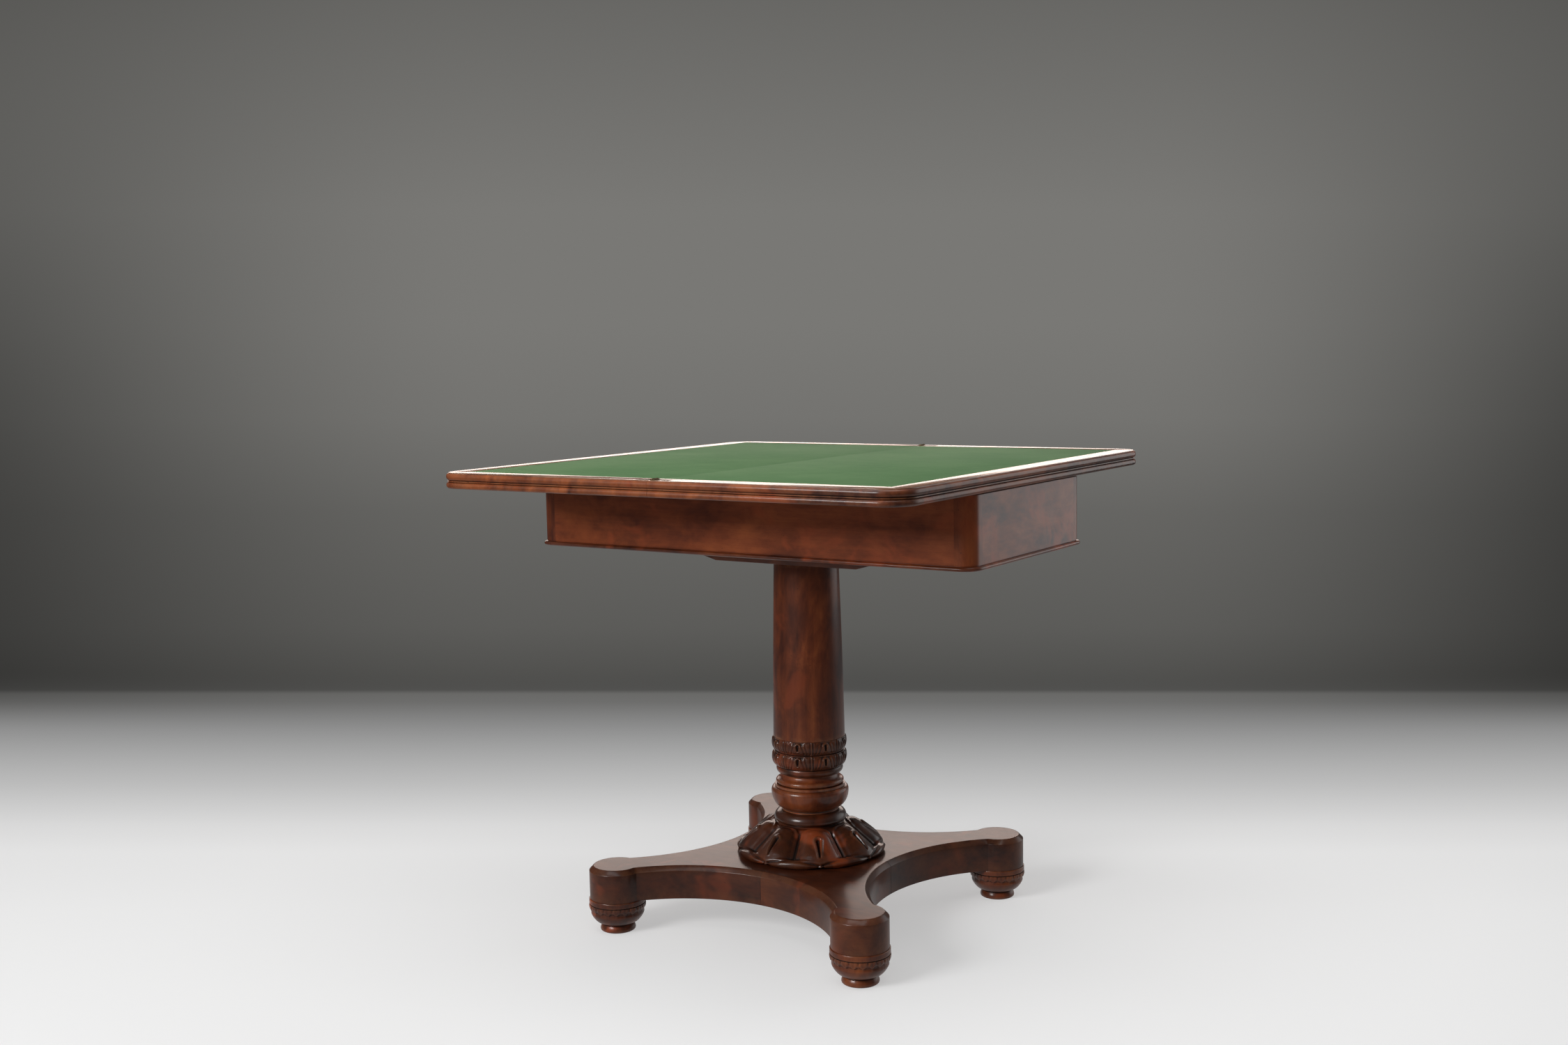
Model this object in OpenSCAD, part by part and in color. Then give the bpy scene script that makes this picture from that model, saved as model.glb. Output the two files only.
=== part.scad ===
// Folding card table: a two-leaf top that turns and folds over a storage well, on a turned
// column with carved collars and a four-footed platform.
// Millimetres, +Z up. X runs along the frieze and Y to the back. The column stands on the origin.

/* [Top] */
// Height of the playing surface above the floor
table_h = 750; // [720:1:790]
// Thickness of a leaf
leaf_t = 24; // [22:0.5:30]
// How far the folded top overhangs the frieze on every side
overhang = 18; // [10:1:24]
// Radius of the outer corners of a leaf
corner_r = 46; // [30:1:60]
// Depth of the moulding round the edge of a leaf
edge_d = 6; // [5:0.5:8]
// How far the two beads of that moulding stand out from its fillet line
bead_nose = 4; // [3:0.5:4.5]
// Height of the lower bead on the edge of a leaf
lower_bead_h = 9.6; // [8:0.2:10]
// Height of each quirk beside the fillet between the two beads
quirk_h = 0.8; // [0.5:0.1:1.2]
// Height of the fillet between the two beads
fillet_h = 1.6; // [1:0.1:2]
// Width of the banding round the cloth
banding_w = 38; // [30:1:50]
// Thickness of the banding
banding_t = 1; // [0.8:0.1:1.5]
// Thickness of the playing cloth
cloth_t = 0.9; // [0.5:0.1:1.2]
// Gap between the two leaves at the seam
seam_gap = 0.4; // [0.2:0.1:1]
// Gap left between the two leaves when they are folded together
fold_gap = 0.3; // [0.2:0.1:0.6]

/* [Leaf hinges] */
// Distance from a hinge's middle to the end of the seam
hinge_inset = 20; // [16:1:26]
// Length of a hinge along the seam
hinge_w = 16; // [12:1:18]
// Reach of a hinge plate from the seam
hinge_reach = 30; // [24:1:36]
// Thickness of a hinge plate
hinge_plate_t = 1.6; // [1.2:0.1:2]
// Outer radius of the hinge knuckles
knuckle_r = 2.1; // [1.9:0.1:2.6]
// Radius of the hinge pin
hinge_pin_r = 0.9; // [0.7:0.05:1.1]
// Distance from the seam to the nearer screw of a hinge plate
hinge_screw_x = 12; // [9:0.5:14]
// Distance between the two screws of a hinge plate
hinge_screw_pitch = 10; // [7:0.5:11]
// Radius of the shank of a hinge screw
hinge_screw_r = 1.2; // [1:0.1:1.5]
// Length of a hinge screw
hinge_screw_l = 11; // [8:0.5:13]

/* [Frieze] */
// Length of the frieze, without its bead
frieze_l = 796; // [740:2:840]
// Width of the frieze, without its bead
frieze_w = 378; // [340:2:400]
// Height of the frieze
frieze_h = 108; // [96:1:120]
// Thickness of the four frieze rails
rail_t = 20; // [16:1:24]
// Width of a corner post, which is square
post_w = 30; // [26:1:36]
// Radius of the outer edge of a corner post
post_r = 22; // [12:1:25]
// Thickness of the tenons between rails and posts
rail_tenon_t = 8; // [6:0.5:9]
// Length of those tenons
rail_tenon_l = 12; // [8:1:14]
// Height of those tenons
rail_tenon_h = 78; // [60:1:88]
// Height of the bead along the foot of the frieze
foot_bead_h = 7; // [5:0.5:9]
// How far that bead stands out
foot_bead_d = 5; // [4:0.5:6]
// Where the left and middle lengths of the front bead meet, along X
left_bead_joint = -14; // [-300:1:60]
// Where the middle and right lengths of the front bead meet, along X
right_bead_joint = 218; // [100:1:320]
// Height of the gap between the frieze and the leaf that turns on it
turn_gap = 4; // [3.6:0.1:5]
// Width of the strips that the leaf glides on
glide_w = 8; // [6:0.5:9]
// Distance from the frieze's outer face to a glide strip
glide_inset = 6; // [4:0.5:6]

/* [Storage well] */
// Thickness of the middle board of the well's floor
middle_board_t = 20; // [16:1:24]
// Length of the middle board
middle_board_l = 380; // [370:2:420]
// Thickness of the two outer boards
outer_board_t = 10; // [8:0.5:12]
// Height of the boards' undersides above the foot of the frieze
board_rise = 12; // [10:1:16]
// Depth of the grooves that hold the boards
groove_d = 6; // [4:0.5:8]
// Leg of the three-cornered glue blocks
glue_block_w = 11; // [8:0.5:12]
// Length of a glue block
glue_block_l = 50; // [40:1:60]
// Distance between neighbouring glue blocks
glue_block_pitch = 190; // [150:5:210]

/* [Pivot] */
// Width of the cross rail that carries the pivot
pivot_rail_w = 100; // [96:1:120]
// Thickness of that rail
pivot_rail_t = 24; // [18:1:28]
// Depth of the housings that the rail's ends sit in
housing_d = 8; // [5:0.5:10]
// Radius of the pivot stud
stud_r = 6; // [5:0.25:8]
// Radius of the round plate screwed under the leaf
plate_r = 55; // [52:1:60]
// Thickness of that plate
plate_t = 3; // [2.5:0.1:3]
// Radius of the circle of screws in the plate
plate_screw_pitch_r = 46; // [44:0.5:47]
// Radius of the shank of a plate screw
plate_screw_r = 2; // [1.6:0.1:2.5]
// Length of a plate screw
plate_screw_l = 18; // [14:0.5:20]
// Radius of the wear washer
wear_washer_r = 22; // [16:0.5:24]
// Thickness of the wear washer
wear_washer_t = 0.8; // [0.5:0.1:0.8]
// Distance from the pivot to the stop pin
stop_pitch_r = 32; // [30:0.5:34]
// Radius of the stop pin
stop_pin_r = 4; // [3:0.25:4.5]
// Depth of the slot that the stop pin runs in
stop_slot_h = 10; // [8:0.5:12]
// Radius of the washer under the nut
nut_washer_r = 15; // [13:0.5:18]
// Thickness of that washer
nut_washer_t = 2.5; // [2:0.1:3]
// Radius across the corners of the nut
nut_r = 10.5; // [10:0.25:12]
// Height of the nut
nut_h = 10; // [8:0.5:12]

/* [Bearer] */
// Length of the bearer block on top of the column
bearer_l = 356; // [330:2:368]
// Width of the bearer
bearer_w = 132; // [120:2:150]
// Thickness of the bearer
bearer_t = 38; // [34:1:44]
// Length of the bevel at each end
bevel_run = 45; // [30:1:60]
// Height of that bevel
bevel_rise = 12; // [6:1:16]
// Radius of the shank of a bearer screw
bearer_screw_r = 2.5; // [2:0.1:3]
// Length of a bearer screw
bearer_screw_l = 50; // [46:1:52]
// Distance from a bearer screw to the edges of the bearer's flat underside
bearer_screw_inset = 20; // [12:1:26]

/* [Column] */
// Diameter of the shaft at its top
shaft_top_d = 105.5; // [90:0.5:112]
// Diameter of the shaft at its foot
shaft_foot_d = 117.5; // [112:0.5:122]
// Diameter of the tenon that passes up through the bearer
top_tenon_d = 46; // [40:1:56]
// Diameter of the tenon that carries the collars and the platform
foot_tenon_d = 34; // [28:1:40]
// Height of the carved collar
collar_h = 61; // [57:1:69]
// Height of the plain ring at the collar's foot
collar_ring_h = 13; // [10:0.5:15]
// Height of the lower of its two tiers of leaves
lower_tier_h = 25; // [22:0.5:27]
// Largest diameter of the carved collar
collar_d = 122.5; // [118:0.5:130]
// Height of the turned baluster under it
baluster_h = 61; // [57:1:70]
// Diameter of the baluster's big torus
torus_d = 127.2; // [122:0.2:136]
// Height above the baluster's foot where the torus is widest
torus_y = 31.5; // [28:0.5:34]
// Height of the torus above that
torus_over = 7.5; // [5:0.5:9]
// Height above the baluster's foot where the torus starts
foot_fillet_y = 5; // [3.5:0.5:7]
// Height of the fillet band over the torus
baluster_band_h = 4.5; // [3:0.5:6]
// Diameter of the ring over that band
ring_d = 111.5; // [106:0.5:116]
// Height of the ring
ring_h = 9; // [7:0.5:10]
// Diameter of the two necks
neck_d = 93; // [86:0.5:98]
// Height of the ovolo ring
ovolo_h = 17.5; // [14:0.5:22]
// Diameter of the ovolo ring
ovolo_d = 119; // [112:0.5:126]
// Height of the rounding under its edge
ovolo_edge_h = 4; // [3:0.5:5]
// Height of the carved dome
dome_h = 52.5; // [46:0.5:60]
// Diameter of the carved dome
dome_d = 244; // [220:1:260]
// Diameter of the dome's top
dome_top_d = 108; // [104:1:116]
// Height of the rolled lip round the dome's foot
dome_lip_h = 11; // [8:0.5:13]
// How far below the dome's foot its curve is centred
dome_sag = 8; // [6:0.5:12]
// Depth of the wedges in the tenon ends
wedge_l = 26; // [20:1:30]
// Thickness of a wedge at its thick end
wedge_t = 4; // [3:0.2:5]

/* [Platform] */
// Thickness of the platform
platform_t = 53; // [46:1:60]
// Distance between the centres of neighbouring feet
foot_pitch = 456; // [440:2:480]
// Diameter of the drums over the feet
drum_d = 88; // [84:1:94]
// Distance from the column's axis to the middle of each hollow side
waist = 151; // [148:1:158]
// Radius of the hollow sides
side_r = 248; // [240:1:256]
// Height and width of the bevel round the platform's top
bevel = 7; // [4:0.5:9]
// Thickness of the splines between the platform's quarters
spline_t = 10; // [8:0.5:12]
// Length of a spline along its joint
spline_l = 90; // [60:1:92]
// Width of a spline across its joint
spline_w = 46; // [30:1:56]
// Distance from the column's axis to the near end of a spline
spline_x = 34; // [30:1:38]

/* [Feet] */
// Height of a foot
foot_h = 54; // [48:1:60]
// Largest diameter of a foot's bowl
bowl_d = 92; // [86:0.5:96]
// Height of the bowl's foot above the floor
bowl_rise = 11; // [8:0.5:13]
// Height of the plain band round the top of a foot
foot_band_h = 9; // [6:0.5:11]
// Diameter of the disc that a foot stands on
disc_d = 57; // [50:0.5:62]
// Diameter of the spigot in the drum
spigot_d = 26; // [20:1:32]
// Length of that spigot
spigot_l = 32; // [26:1:38]

/* [Fits] */
// Clearance round a joint, tenon or spigot
joint_gap = 0.1; // [0.05:0.05:0.2]
// Running clearance, on the radius, of a pin or stud that turns
running_gap = 0.05; // [0.02:0.01:0.1]
// Least gap between surfaces that pass each other
pass_gap = 0.3; // [0.2:0.05:0.4]

/* [Hidden] */
$fn = 96;

// The four corners, in the order of their names, as signs of X and Y
corner_names = ["front_right", "back_right", "back_left", "front_left"];
corner_signs = [[1, -1], [1, 1], [-1, 1], [-1, -1]];

// Leaves
leaf_d = frieze_w + 2 * overhang;
leaf_w = frieze_l + 2 * overhang;
leaf_z = table_h - leaf_t;
board_t = leaf_t - banding_t;
cloth_z = table_h - banding_t;
fold_z = table_h + fold_gap / 2;
band_inset = bead_nose;
// Starts of a hinge's two outer knuckles and of its middle one
knuckle_l = (hinge_w - 2 * pass_gap) / 3;
outer_knuckles = [-hinge_w / 2, hinge_w / 2 - knuckle_l];
middle_knuckle = [-knuckle_l / 2];
// How far cuts run past the faces that they open
lap = 1;

// Frieze and well
frieze_top = leaf_z - turn_gap;
frieze_z = frieze_top - frieze_h;
rail_x = frieze_l / 2 - rail_t;
rail_y = frieze_w / 2 - rail_t;
post_x = frieze_l / 2 - post_w;
post_y = frieze_w / 2 - post_w;
board_z = frieze_z + board_rise;
bead_x = frieze_l / 2 - post_r;
bead_y = frieze_w / 2 - post_r;
// Depth and height of the groove over the bead
quirk = 1;

// Pivot: a quarter of a leaf from the middle, so that the folded top lands centred
pivot_xy = leaf_d / 4;
pivot_rail_z = frieze_top - pivot_rail_t;
plate_z = leaf_z - plate_t;
stop_angle = 135;
turn_angle = 90;
nut_washer_z = pivot_rail_z - joint_gap - nut_washer_t;
nut_z = nut_washer_z - nut_h;

// Column, from the floor up
platform_z = foot_h;
dome_z = platform_z + platform_t;
ovolo_z = dome_z + dome_h;
baluster_z = ovolo_z + ovolo_h;
collar_z = baluster_z + baluster_h;
shaft_z = collar_z + collar_h;
bearer_z = board_z - bearer_t;
shaft_l = bearer_z - shaft_z;
foot_tenon_l = shaft_z - platform_z;
top_tenon_l = bearer_t + middle_board_t;
foot_xy = foot_pitch / 2;

mahogany = [0.42, 0.17, 0.09];
dark_wood = [0.25, 0.11, 0.07];
pale_wood = [0.62, 0.45, 0.28];
crossbanding = [0.55, 0.28, 0.17];
green_cloth = [0.16, 0.42, 0.24];
iron = [0.30, 0.30, 0.31];
brass = [0.72, 0.56, 0.28];

// Points on an ellipse from angle a to angle b
function arc(cx, cy, rx, ry, a, b, steps = 10) =
    [for (i = [0:steps]) let (t = a + (b - a) * i / steps) [cx + rx * cos(t), cy + ry * sin(t)]];

// Section of the leaf's edge, from its underside to the underside of the banding
function edge_section() =
    let (x = edge_d - bead_nose)
    let (fillet_y = lower_bead_h + quirk_h)
    let (upper_y = fillet_y + fillet_h + quirk_h)
    let (upper_h = board_t - upper_y)
    concat(
        [[-lap, 0]],
        arc(x, lower_bead_h / 2, bead_nose, lower_bead_h / 2, -90, 90, 12),
        [[x, fillet_y], [x + bead_nose / 2, fillet_y], [x + bead_nose / 2, fillet_y + fillet_h],
         [x, fillet_y + fillet_h]],
        arc(x, upper_y + upper_h / 2, bead_nose, upper_h / 2, -90, 90, 12),
        [[-lap, board_t]]
    );

// Screw with a countersunk head, its top at the origin and its point downwards
module wood_screw(r, l) {
    rotate_extrude($fn = 32)
        polygon([[0, 0], [2 * r, 0], [r, -r], [r, -l + 2 * r], [0, -l]]);
}

// Hole for that screw
module screw_hole(r, l) {
    wood_screw(r + joint_gap / 2, l + joint_gap);
}

// Drops a child at each of the four corners of a rectangle
module at_corners(x, y) {
    for (s = corner_signs)
        translate([s.x * x, s.y * y]) children();
}

// Outline of a leaf on the +X side, drawn in from its widest by an inset
module leaf_outline(inset) {
    half = leaf_w / 2;
    translate([seam_gap / 2, inset - half])
        square([leaf_d - corner_r - seam_gap / 2, leaf_w - 2 * inset]);
    translate([seam_gap / 2, corner_r - half])
        square([leaf_d - inset - seam_gap / 2, leaf_w - 2 * corner_r]);
    for (s = [-1, 1])
        translate([leaf_d - corner_r, s * (half - corner_r)]) circle(r = corner_r - inset);
}

// Moulded board of the leaf on the +X side
module leaf_board() {
    half = leaf_w / 2;
    translate([0, 0, leaf_z]) {
        linear_extrude(board_t) leaf_outline(edge_d);
        translate([leaf_d - edge_d, half - corner_r, 0]) rotate([90, 0, 0])
            linear_extrude(leaf_w - 2 * corner_r) polygon(edge_section());
        for (m = [0, 1])
            mirror([0, m, 0]) {
                translate([seam_gap / 2, half - edge_d, 0]) rotate([90, 0, 90])
                    linear_extrude(leaf_d - corner_r - seam_gap / 2) polygon(edge_section());
                translate([leaf_d - corner_r, half - corner_r, 0])
                    rotate_extrude(angle = 90) translate([corner_r - edge_d, 0])
                        polygon(edge_section());
            }
    }
}

// Three mitred strips of banding round the cloth of the leaf on the +X side
module leaf_banding() {
    inner_x = leaf_d - banding_w;
    inner_y = leaf_w / 2 - banding_w;
    translate([0, 0, cloth_z])
        linear_extrude(banding_t) difference() {
            leaf_outline(band_inset);
            translate([0, -inner_y]) square([inner_x, 2 * inner_y]);
            for (s = [-1, 1])
                translate([inner_x, s * inner_y]) rotate(s * 45)
                    translate([-1, -joint_gap / 2]) square([2 * banding_w, joint_gap]);
        }
}

// Cloth on the leaf on the +X side
module leaf_cloth() {
    inner_x = leaf_d - banding_w - joint_gap;
    inner_y = leaf_w / 2 - banding_w - joint_gap;
    translate([seam_gap / 2, -inner_y, cloth_z])
        cube([inner_x - seam_gap / 2, 2 * inner_y, cloth_t]);
}

// Places a child at each of the two hinges
module at_hinges() {
    for (s = [-1, 1])
        translate([0, s * (leaf_w / 2 - hinge_inset), 0]) children();
}

// Places a child at each screw of a hinge plate on the +X side
module at_hinge_screws() {
    for (x = [hinge_screw_x, hinge_screw_x + hinge_screw_pitch])
        translate([x, 0, table_h - joint_gap / 2]) children();
}

// Room in the leaf on the +X side for its hinge plates, the knuckles and the screws
module hinge_pockets() {
    at_hinges() {
        translate([-knuckle_r, -hinge_w / 2 - joint_gap, table_h - hinge_plate_t - joint_gap])
            cube([hinge_reach + knuckle_r + joint_gap, hinge_w + 2 * joint_gap, leaf_t]);
        translate([0, hinge_w / 2 + joint_gap, fold_z]) rotate([90, 0, 0])
            cylinder(r = knuckle_r + pass_gap, h = hinge_w + 2 * joint_gap);
        at_hinge_screws() screw_hole(hinge_screw_r, hinge_screw_l);
    }
}

// One hinge's plate on the +X side, with a knuckle from each of the given starts along Y
module hinge_plate(knuckles) {
    free_x = knuckle_r + pass_gap;
    difference() {
        union() {
            translate([free_x, -hinge_w / 2, table_h - hinge_plate_t])
                cube([hinge_reach - free_x, hinge_w, hinge_plate_t]);
            for (y = knuckles)
                translate([0, y, 0]) {
                    translate([0, 0, table_h - hinge_plate_t])
                        cube([hinge_reach / 2, knuckle_l, hinge_plate_t]);
                    translate([0, knuckle_l, fold_z]) rotate([90, 0, 0])
                        cylinder(r = knuckle_r, h = knuckle_l);
                }
        }
        translate([0, hinge_w, fold_z]) rotate([90, 0, 0])
            cylinder(r = hinge_pin_r + running_gap, h = 2 * hinge_w);
        at_hinge_screws() screw_hole(hinge_screw_r, hinge_screw_l);
    }
}

// Places a child at each screw of the pivot plate, in the leaf's underside
module at_plate_screws() {
    for (a = [0:90:270])
        translate([pivot_xy, pivot_xy, plate_z]) rotate(a)
            translate([plate_screw_pitch_r, 0, joint_gap / 2]) mirror([0, 0, 1]) children();
}

module lower_leaf_board() {
    color(mahogany) difference() {
        leaf_board();
        hinge_pockets();
        at_plate_screws() screw_hole(plate_screw_r, plate_screw_l);
    }
}

module lower_leaf_banding() {
    color(crossbanding) difference() {
        leaf_banding();
        hinge_pockets();
    }
}

module lower_leaf_cloth() {
    color(green_cloth) leaf_cloth();
}

module upper_leaf_board() {
    color(mahogany) mirror([1, 0, 0]) difference() {
        leaf_board();
        hinge_pockets();
    }
}

module upper_leaf_banding() {
    color(crossbanding) mirror([1, 0, 0]) difference() {
        leaf_banding();
        hinge_pockets();
    }
}

module upper_leaf_cloth() {
    color(green_cloth) mirror([1, 0, 0]) leaf_cloth();
}

module lower_hinge_plates() {
    color(brass) at_hinges() hinge_plate(outer_knuckles);
}

module upper_hinge_plates() {
    color(brass) mirror([1, 0, 0]) at_hinges() hinge_plate(middle_knuckle);
}

module lower_hinge_screws() {
    color(brass) at_hinges() at_hinge_screws() wood_screw(hinge_screw_r, hinge_screw_l);
}

module upper_hinge_screws() {
    color(brass) mirror([1, 0, 0])
        at_hinges() at_hinge_screws() wood_screw(hinge_screw_r, hinge_screw_l);
}

module hinge_pins() {
    color(brass) at_hinges()
        translate([0, hinge_w / 2, fold_z]) rotate([90, 0, 0])
            cylinder(r = hinge_pin_r, h = hinge_w);
}

// Round plate under the lower leaf, with the stud that turns in the pivot rail
module pivot_plate() {
    color(iron) difference() {
        translate([pivot_xy, pivot_xy, 0]) {
            translate([0, 0, plate_z]) cylinder(r = plate_r, h = plate_t);
            translate([0, 0, nut_z - nut_washer_t])
                cylinder(r = stud_r, h = plate_z - nut_z + nut_washer_t + lap);
        }
        at_plate_screws() screw_hole(plate_screw_r, plate_screw_l);
        stop_pin_shape(joint_gap / 2);
    }
}

module pivot_plate_screws() {
    color(iron) at_plate_screws() wood_screw(plate_screw_r, plate_screw_l);
}

// Stop pin, grown on its radius by a clearance
module stop_pin_shape(gap) {
    foot_z = frieze_top - stop_slot_h + 2;
    translate([pivot_xy, pivot_xy, foot_z]) rotate(stop_angle)
        translate([stop_pitch_r, 0, 0]) cylinder(r = stop_pin_r + gap, h = leaf_z - foot_z);
}

module stop_pin() {
    color(iron) stop_pin_shape(0);
}

module pivot_washer() {
    color(iron) translate([pivot_xy, pivot_xy, nut_washer_z]) difference() {
        cylinder(r = nut_washer_r, h = nut_washer_t);
        translate([0, 0, -lap]) cylinder(r = stud_r + joint_gap, h = nut_washer_t + 2 * lap);
    }
}

module pivot_nut() {
    color(iron) translate([pivot_xy, pivot_xy, nut_z]) difference() {
        cylinder(r = nut_r, h = nut_h, $fn = 6);
        translate([0, 0, -lap]) cylinder(r = stud_r + running_gap, h = nut_h + 2 * lap);
    }
}

module wear_washer() {
    color(brass) translate([pivot_xy, pivot_xy, frieze_top]) difference() {
        cylinder(r = wear_washer_r, h = wear_washer_t);
        translate([0, 0, -lap]) cylinder(r = stud_r + pass_gap, h = wear_washer_t + 2 * lap);
    }
}

// Solid of the pivot rail, level with the frieze's top
module pivot_rail_solid() {
    half = rail_y + housing_d;
    translate([pivot_xy - pivot_rail_w / 2, -half, pivot_rail_z])
        cube([pivot_rail_w, 2 * half, pivot_rail_t]);
}

// Housings for the ends of the pivot rail
module pivot_rail_housings() {
    half = rail_y + housing_d + joint_gap;
    translate([pivot_xy - pivot_rail_w / 2 - joint_gap, -half, pivot_rail_z - joint_gap])
        cube([pivot_rail_w + 2 * joint_gap, 2 * half, pivot_rail_t + joint_gap + lap]);
}

// Slot of a quarter turn for the stop pin, with room for the pin at both ends
module stop_slot() {
    wide = stop_pin_r + pass_gap;
    spare = asin(wide / stop_pitch_r);
    translate([pivot_xy, pivot_xy, frieze_top - stop_slot_h])
        rotate(stop_angle - turn_angle - spare)
            rotate_extrude(angle = turn_angle + 2 * spare)
                translate([stop_pitch_r - wide, 0]) square([2 * wide, stop_slot_h + lap]);
}

module pivot_rail() {
    color(pale_wood) difference() {
        pivot_rail_solid();
        translate([pivot_xy, pivot_xy, pivot_rail_z - lap])
            cylinder(r = stud_r + running_gap, h = pivot_rail_t + 2 * lap);
        stop_slot();
    }
}

// Board of the well's floor from one X to another, grown by a clearance
module well_board(x0, x1, t, gap) {
    half = rail_y + groove_d + gap;
    translate([x0 - gap, -half, board_z - gap]) cube([x1 - x0 + 2 * gap, 2 * half, t + 2 * gap]);
}

// All three boards, grown by the joint clearance, to cut the grooves with
module well_grooves() {
    half = middle_board_l / 2;
    well_board(-half, half, middle_board_t, joint_gap);
    well_board(half, rail_x, outer_board_t, joint_gap);
    well_board(-rail_x, -half, outer_board_t, joint_gap);
}

module top_tenon_hole() {
    translate([0, 0, bearer_z - lap])
        cylinder(d = top_tenon_d + 2 * joint_gap, h = top_tenon_l + 2 * lap);
}

// Places a child at each screw up through the bearer, at its underside
module at_bearer_screws() {
    at_corners(bearer_l / 2 - bevel_run - bearer_screw_inset, bearer_w / 2 - bearer_screw_inset)
        translate([0, 0, bearer_z + joint_gap]) mirror([0, 0, 1]) children();
}

module well_middle_board() {
    color(pale_wood) difference() {
        well_board(-middle_board_l / 2, middle_board_l / 2, middle_board_t, 0);
        top_tenon_hole();
        at_bearer_screws() screw_hole(bearer_screw_r, bearer_screw_l);
    }
}

// Outer board of the floor on the +X side, notched round the posts
module outer_board() {
    difference() {
        well_board(middle_board_l / 2 + joint_gap, rail_x, outer_board_t, 0);
        for (s = [-1, 1])
            translate([post_x - joint_gap, s * (post_y + post_w / 2) - post_w / 2 - joint_gap,
                       board_z - lap])
                cube([post_w, post_w + 2 * joint_gap, outer_board_t + 2 * lap]);
    }
}

module well_right_board() {
    color(pale_wood) outer_board();
}

module well_left_board() {
    color(pale_wood) mirror([1, 0, 0]) outer_board();
}

// Glue blocks in the corner between the boards' undersides and the long rails
module glue_blocks() {
    color(pale_wood)
        for (i = [-1.5:1.5], m = [0, 1])
            mirror([0, m, 0])
                translate([i * glue_block_pitch - glue_block_l / 2, -rail_y, board_z])
                    rotate([90, 0, 90]) linear_extrude(glue_block_l)
                        polygon([[0, 0], [0, -glue_block_w], [glue_block_w, 0]]);
}

module bearer_block() {
    half = bearer_l / 2;
    color(mahogany) difference() {
        translate([0, bearer_w / 2, bearer_z]) rotate([90, 0, 0]) linear_extrude(bearer_w)
            polygon([[bevel_run - half, 0], [half - bevel_run, 0], [half, bevel_rise],
                     [half, bearer_t], [-half, bearer_t], [-half, bevel_rise]]);
        top_tenon_hole();
        at_bearer_screws() screw_hole(bearer_screw_r, bearer_screw_l);
    }
}

module bearer_screws() {
    color(iron) at_bearer_screws() wood_screw(bearer_screw_r, bearer_screw_l);
}

// Tenon at one end of a rail that runs along X, its shoulder at the origin
module rail_tenon(gap) {
    translate([-lap, -rail_tenon_t / 2 - gap, (frieze_h - rail_tenon_h) / 2 - gap])
        cube([rail_tenon_l + lap + gap, rail_tenon_t + 2 * gap, rail_tenon_h + 2 * gap]);
}

// Straight rail along X of a length, its outer face at -Y and its middle on the origin
module rail(length) {
    difference() {
        translate([-length / 2, 0, 0]) cube([length, rail_t, frieze_h]);
        translate([-length, -lap, foot_bead_h]) cube([2 * length, lap + quirk, quirk]);
    }
    for (m = [0, 1])
        mirror([m, 0, 0]) translate([length / 2, rail_t / 2, 0]) rail_tenon(0);
}

// Long rail at the front, without the places cut in it
module long_rail() {
    translate([0, -frieze_w / 2, frieze_z]) rail(2 * post_x);
}

module frieze_front() {
    color(mahogany) difference() {
        long_rail();
        well_grooves();
        pivot_rail_housings();
    }
}

module frieze_back() {
    color(mahogany) difference() {
        mirror([0, 1, 0]) long_rail();
        well_grooves();
        pivot_rail_housings();
    }
}

module frieze_right() {
    color(mahogany) translate([frieze_l / 2, 0, frieze_z]) rotate(90) rail(2 * post_y);
}

module frieze_left() {
    color(mahogany) translate([-frieze_l / 2, 0, frieze_z]) rotate(-90) rail(2 * post_y);
}

// Corner post at +X and +Y, with its outer edge rounded and its two mortises
module corner_post() {
    r = post_r;
    difference() {
        translate([post_x, post_y, frieze_z]) {
            difference() {
                linear_extrude(frieze_h) difference() {
                    square(post_w);
                    translate([post_w - r, post_w - r]) difference() {
                        square(r + lap);
                        circle(r = r);
                    }
                }
                translate([0, 0, foot_bead_h]) {
                    translate([-lap, post_w - quirk, 0]) cube([post_w - r + lap, quirk + lap, quirk]);
                    translate([post_w - quirk, -lap, 0]) cube([quirk + lap, post_w - r + lap, quirk]);
                    translate([post_w - r, post_w - r, 0]) rotate_extrude(angle = 90)
                        translate([r - quirk, 0]) square([quirk + lap, quirk]);
                }
            }
        }
        translate([post_x, frieze_w / 2 - rail_t / 2, frieze_z]) rail_tenon(joint_gap);
        translate([frieze_l / 2 - rail_t / 2, post_y, frieze_z]) rotate(90) rail_tenon(joint_gap);
    }
}

// Section of the bead at the foot of the frieze, its back on the Y axis
function foot_bead_section() =
    arc(0, foot_bead_h / 2, foot_bead_d, foot_bead_h / 2, -90, 90, 14);

// Length of bead along the front, from one X to another
module front_bead(x0, x1) {
    translate([x0, -frieze_w / 2, frieze_z]) mirror([0, 1, 0]) rotate([90, 0, 90])
        linear_extrude(x1 - x0) polygon(foot_bead_section());
}

module bead_front() {
    ends = [-bead_x, left_bead_joint, right_bead_joint, bead_x];
    color(mahogany)
        for (i = [0:len(ends) - 2])
            front_bead(ends[i] + joint_gap, ends[i + 1] - joint_gap);
}

module bead_back() {
    color(mahogany) mirror([0, 1, 0]) front_bead(joint_gap - bead_x, bead_x - joint_gap);
}

// Length of bead on the +X side
module side_bead() {
    translate([frieze_l / 2, bead_y - joint_gap, frieze_z]) rotate([90, 0, 0])
        linear_extrude(2 * (bead_y - joint_gap)) polygon(foot_bead_section());
}

module bead_right() {
    color(mahogany) side_bead();
}

module bead_left() {
    color(mahogany) mirror([1, 0, 0]) side_bead();
}

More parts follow.
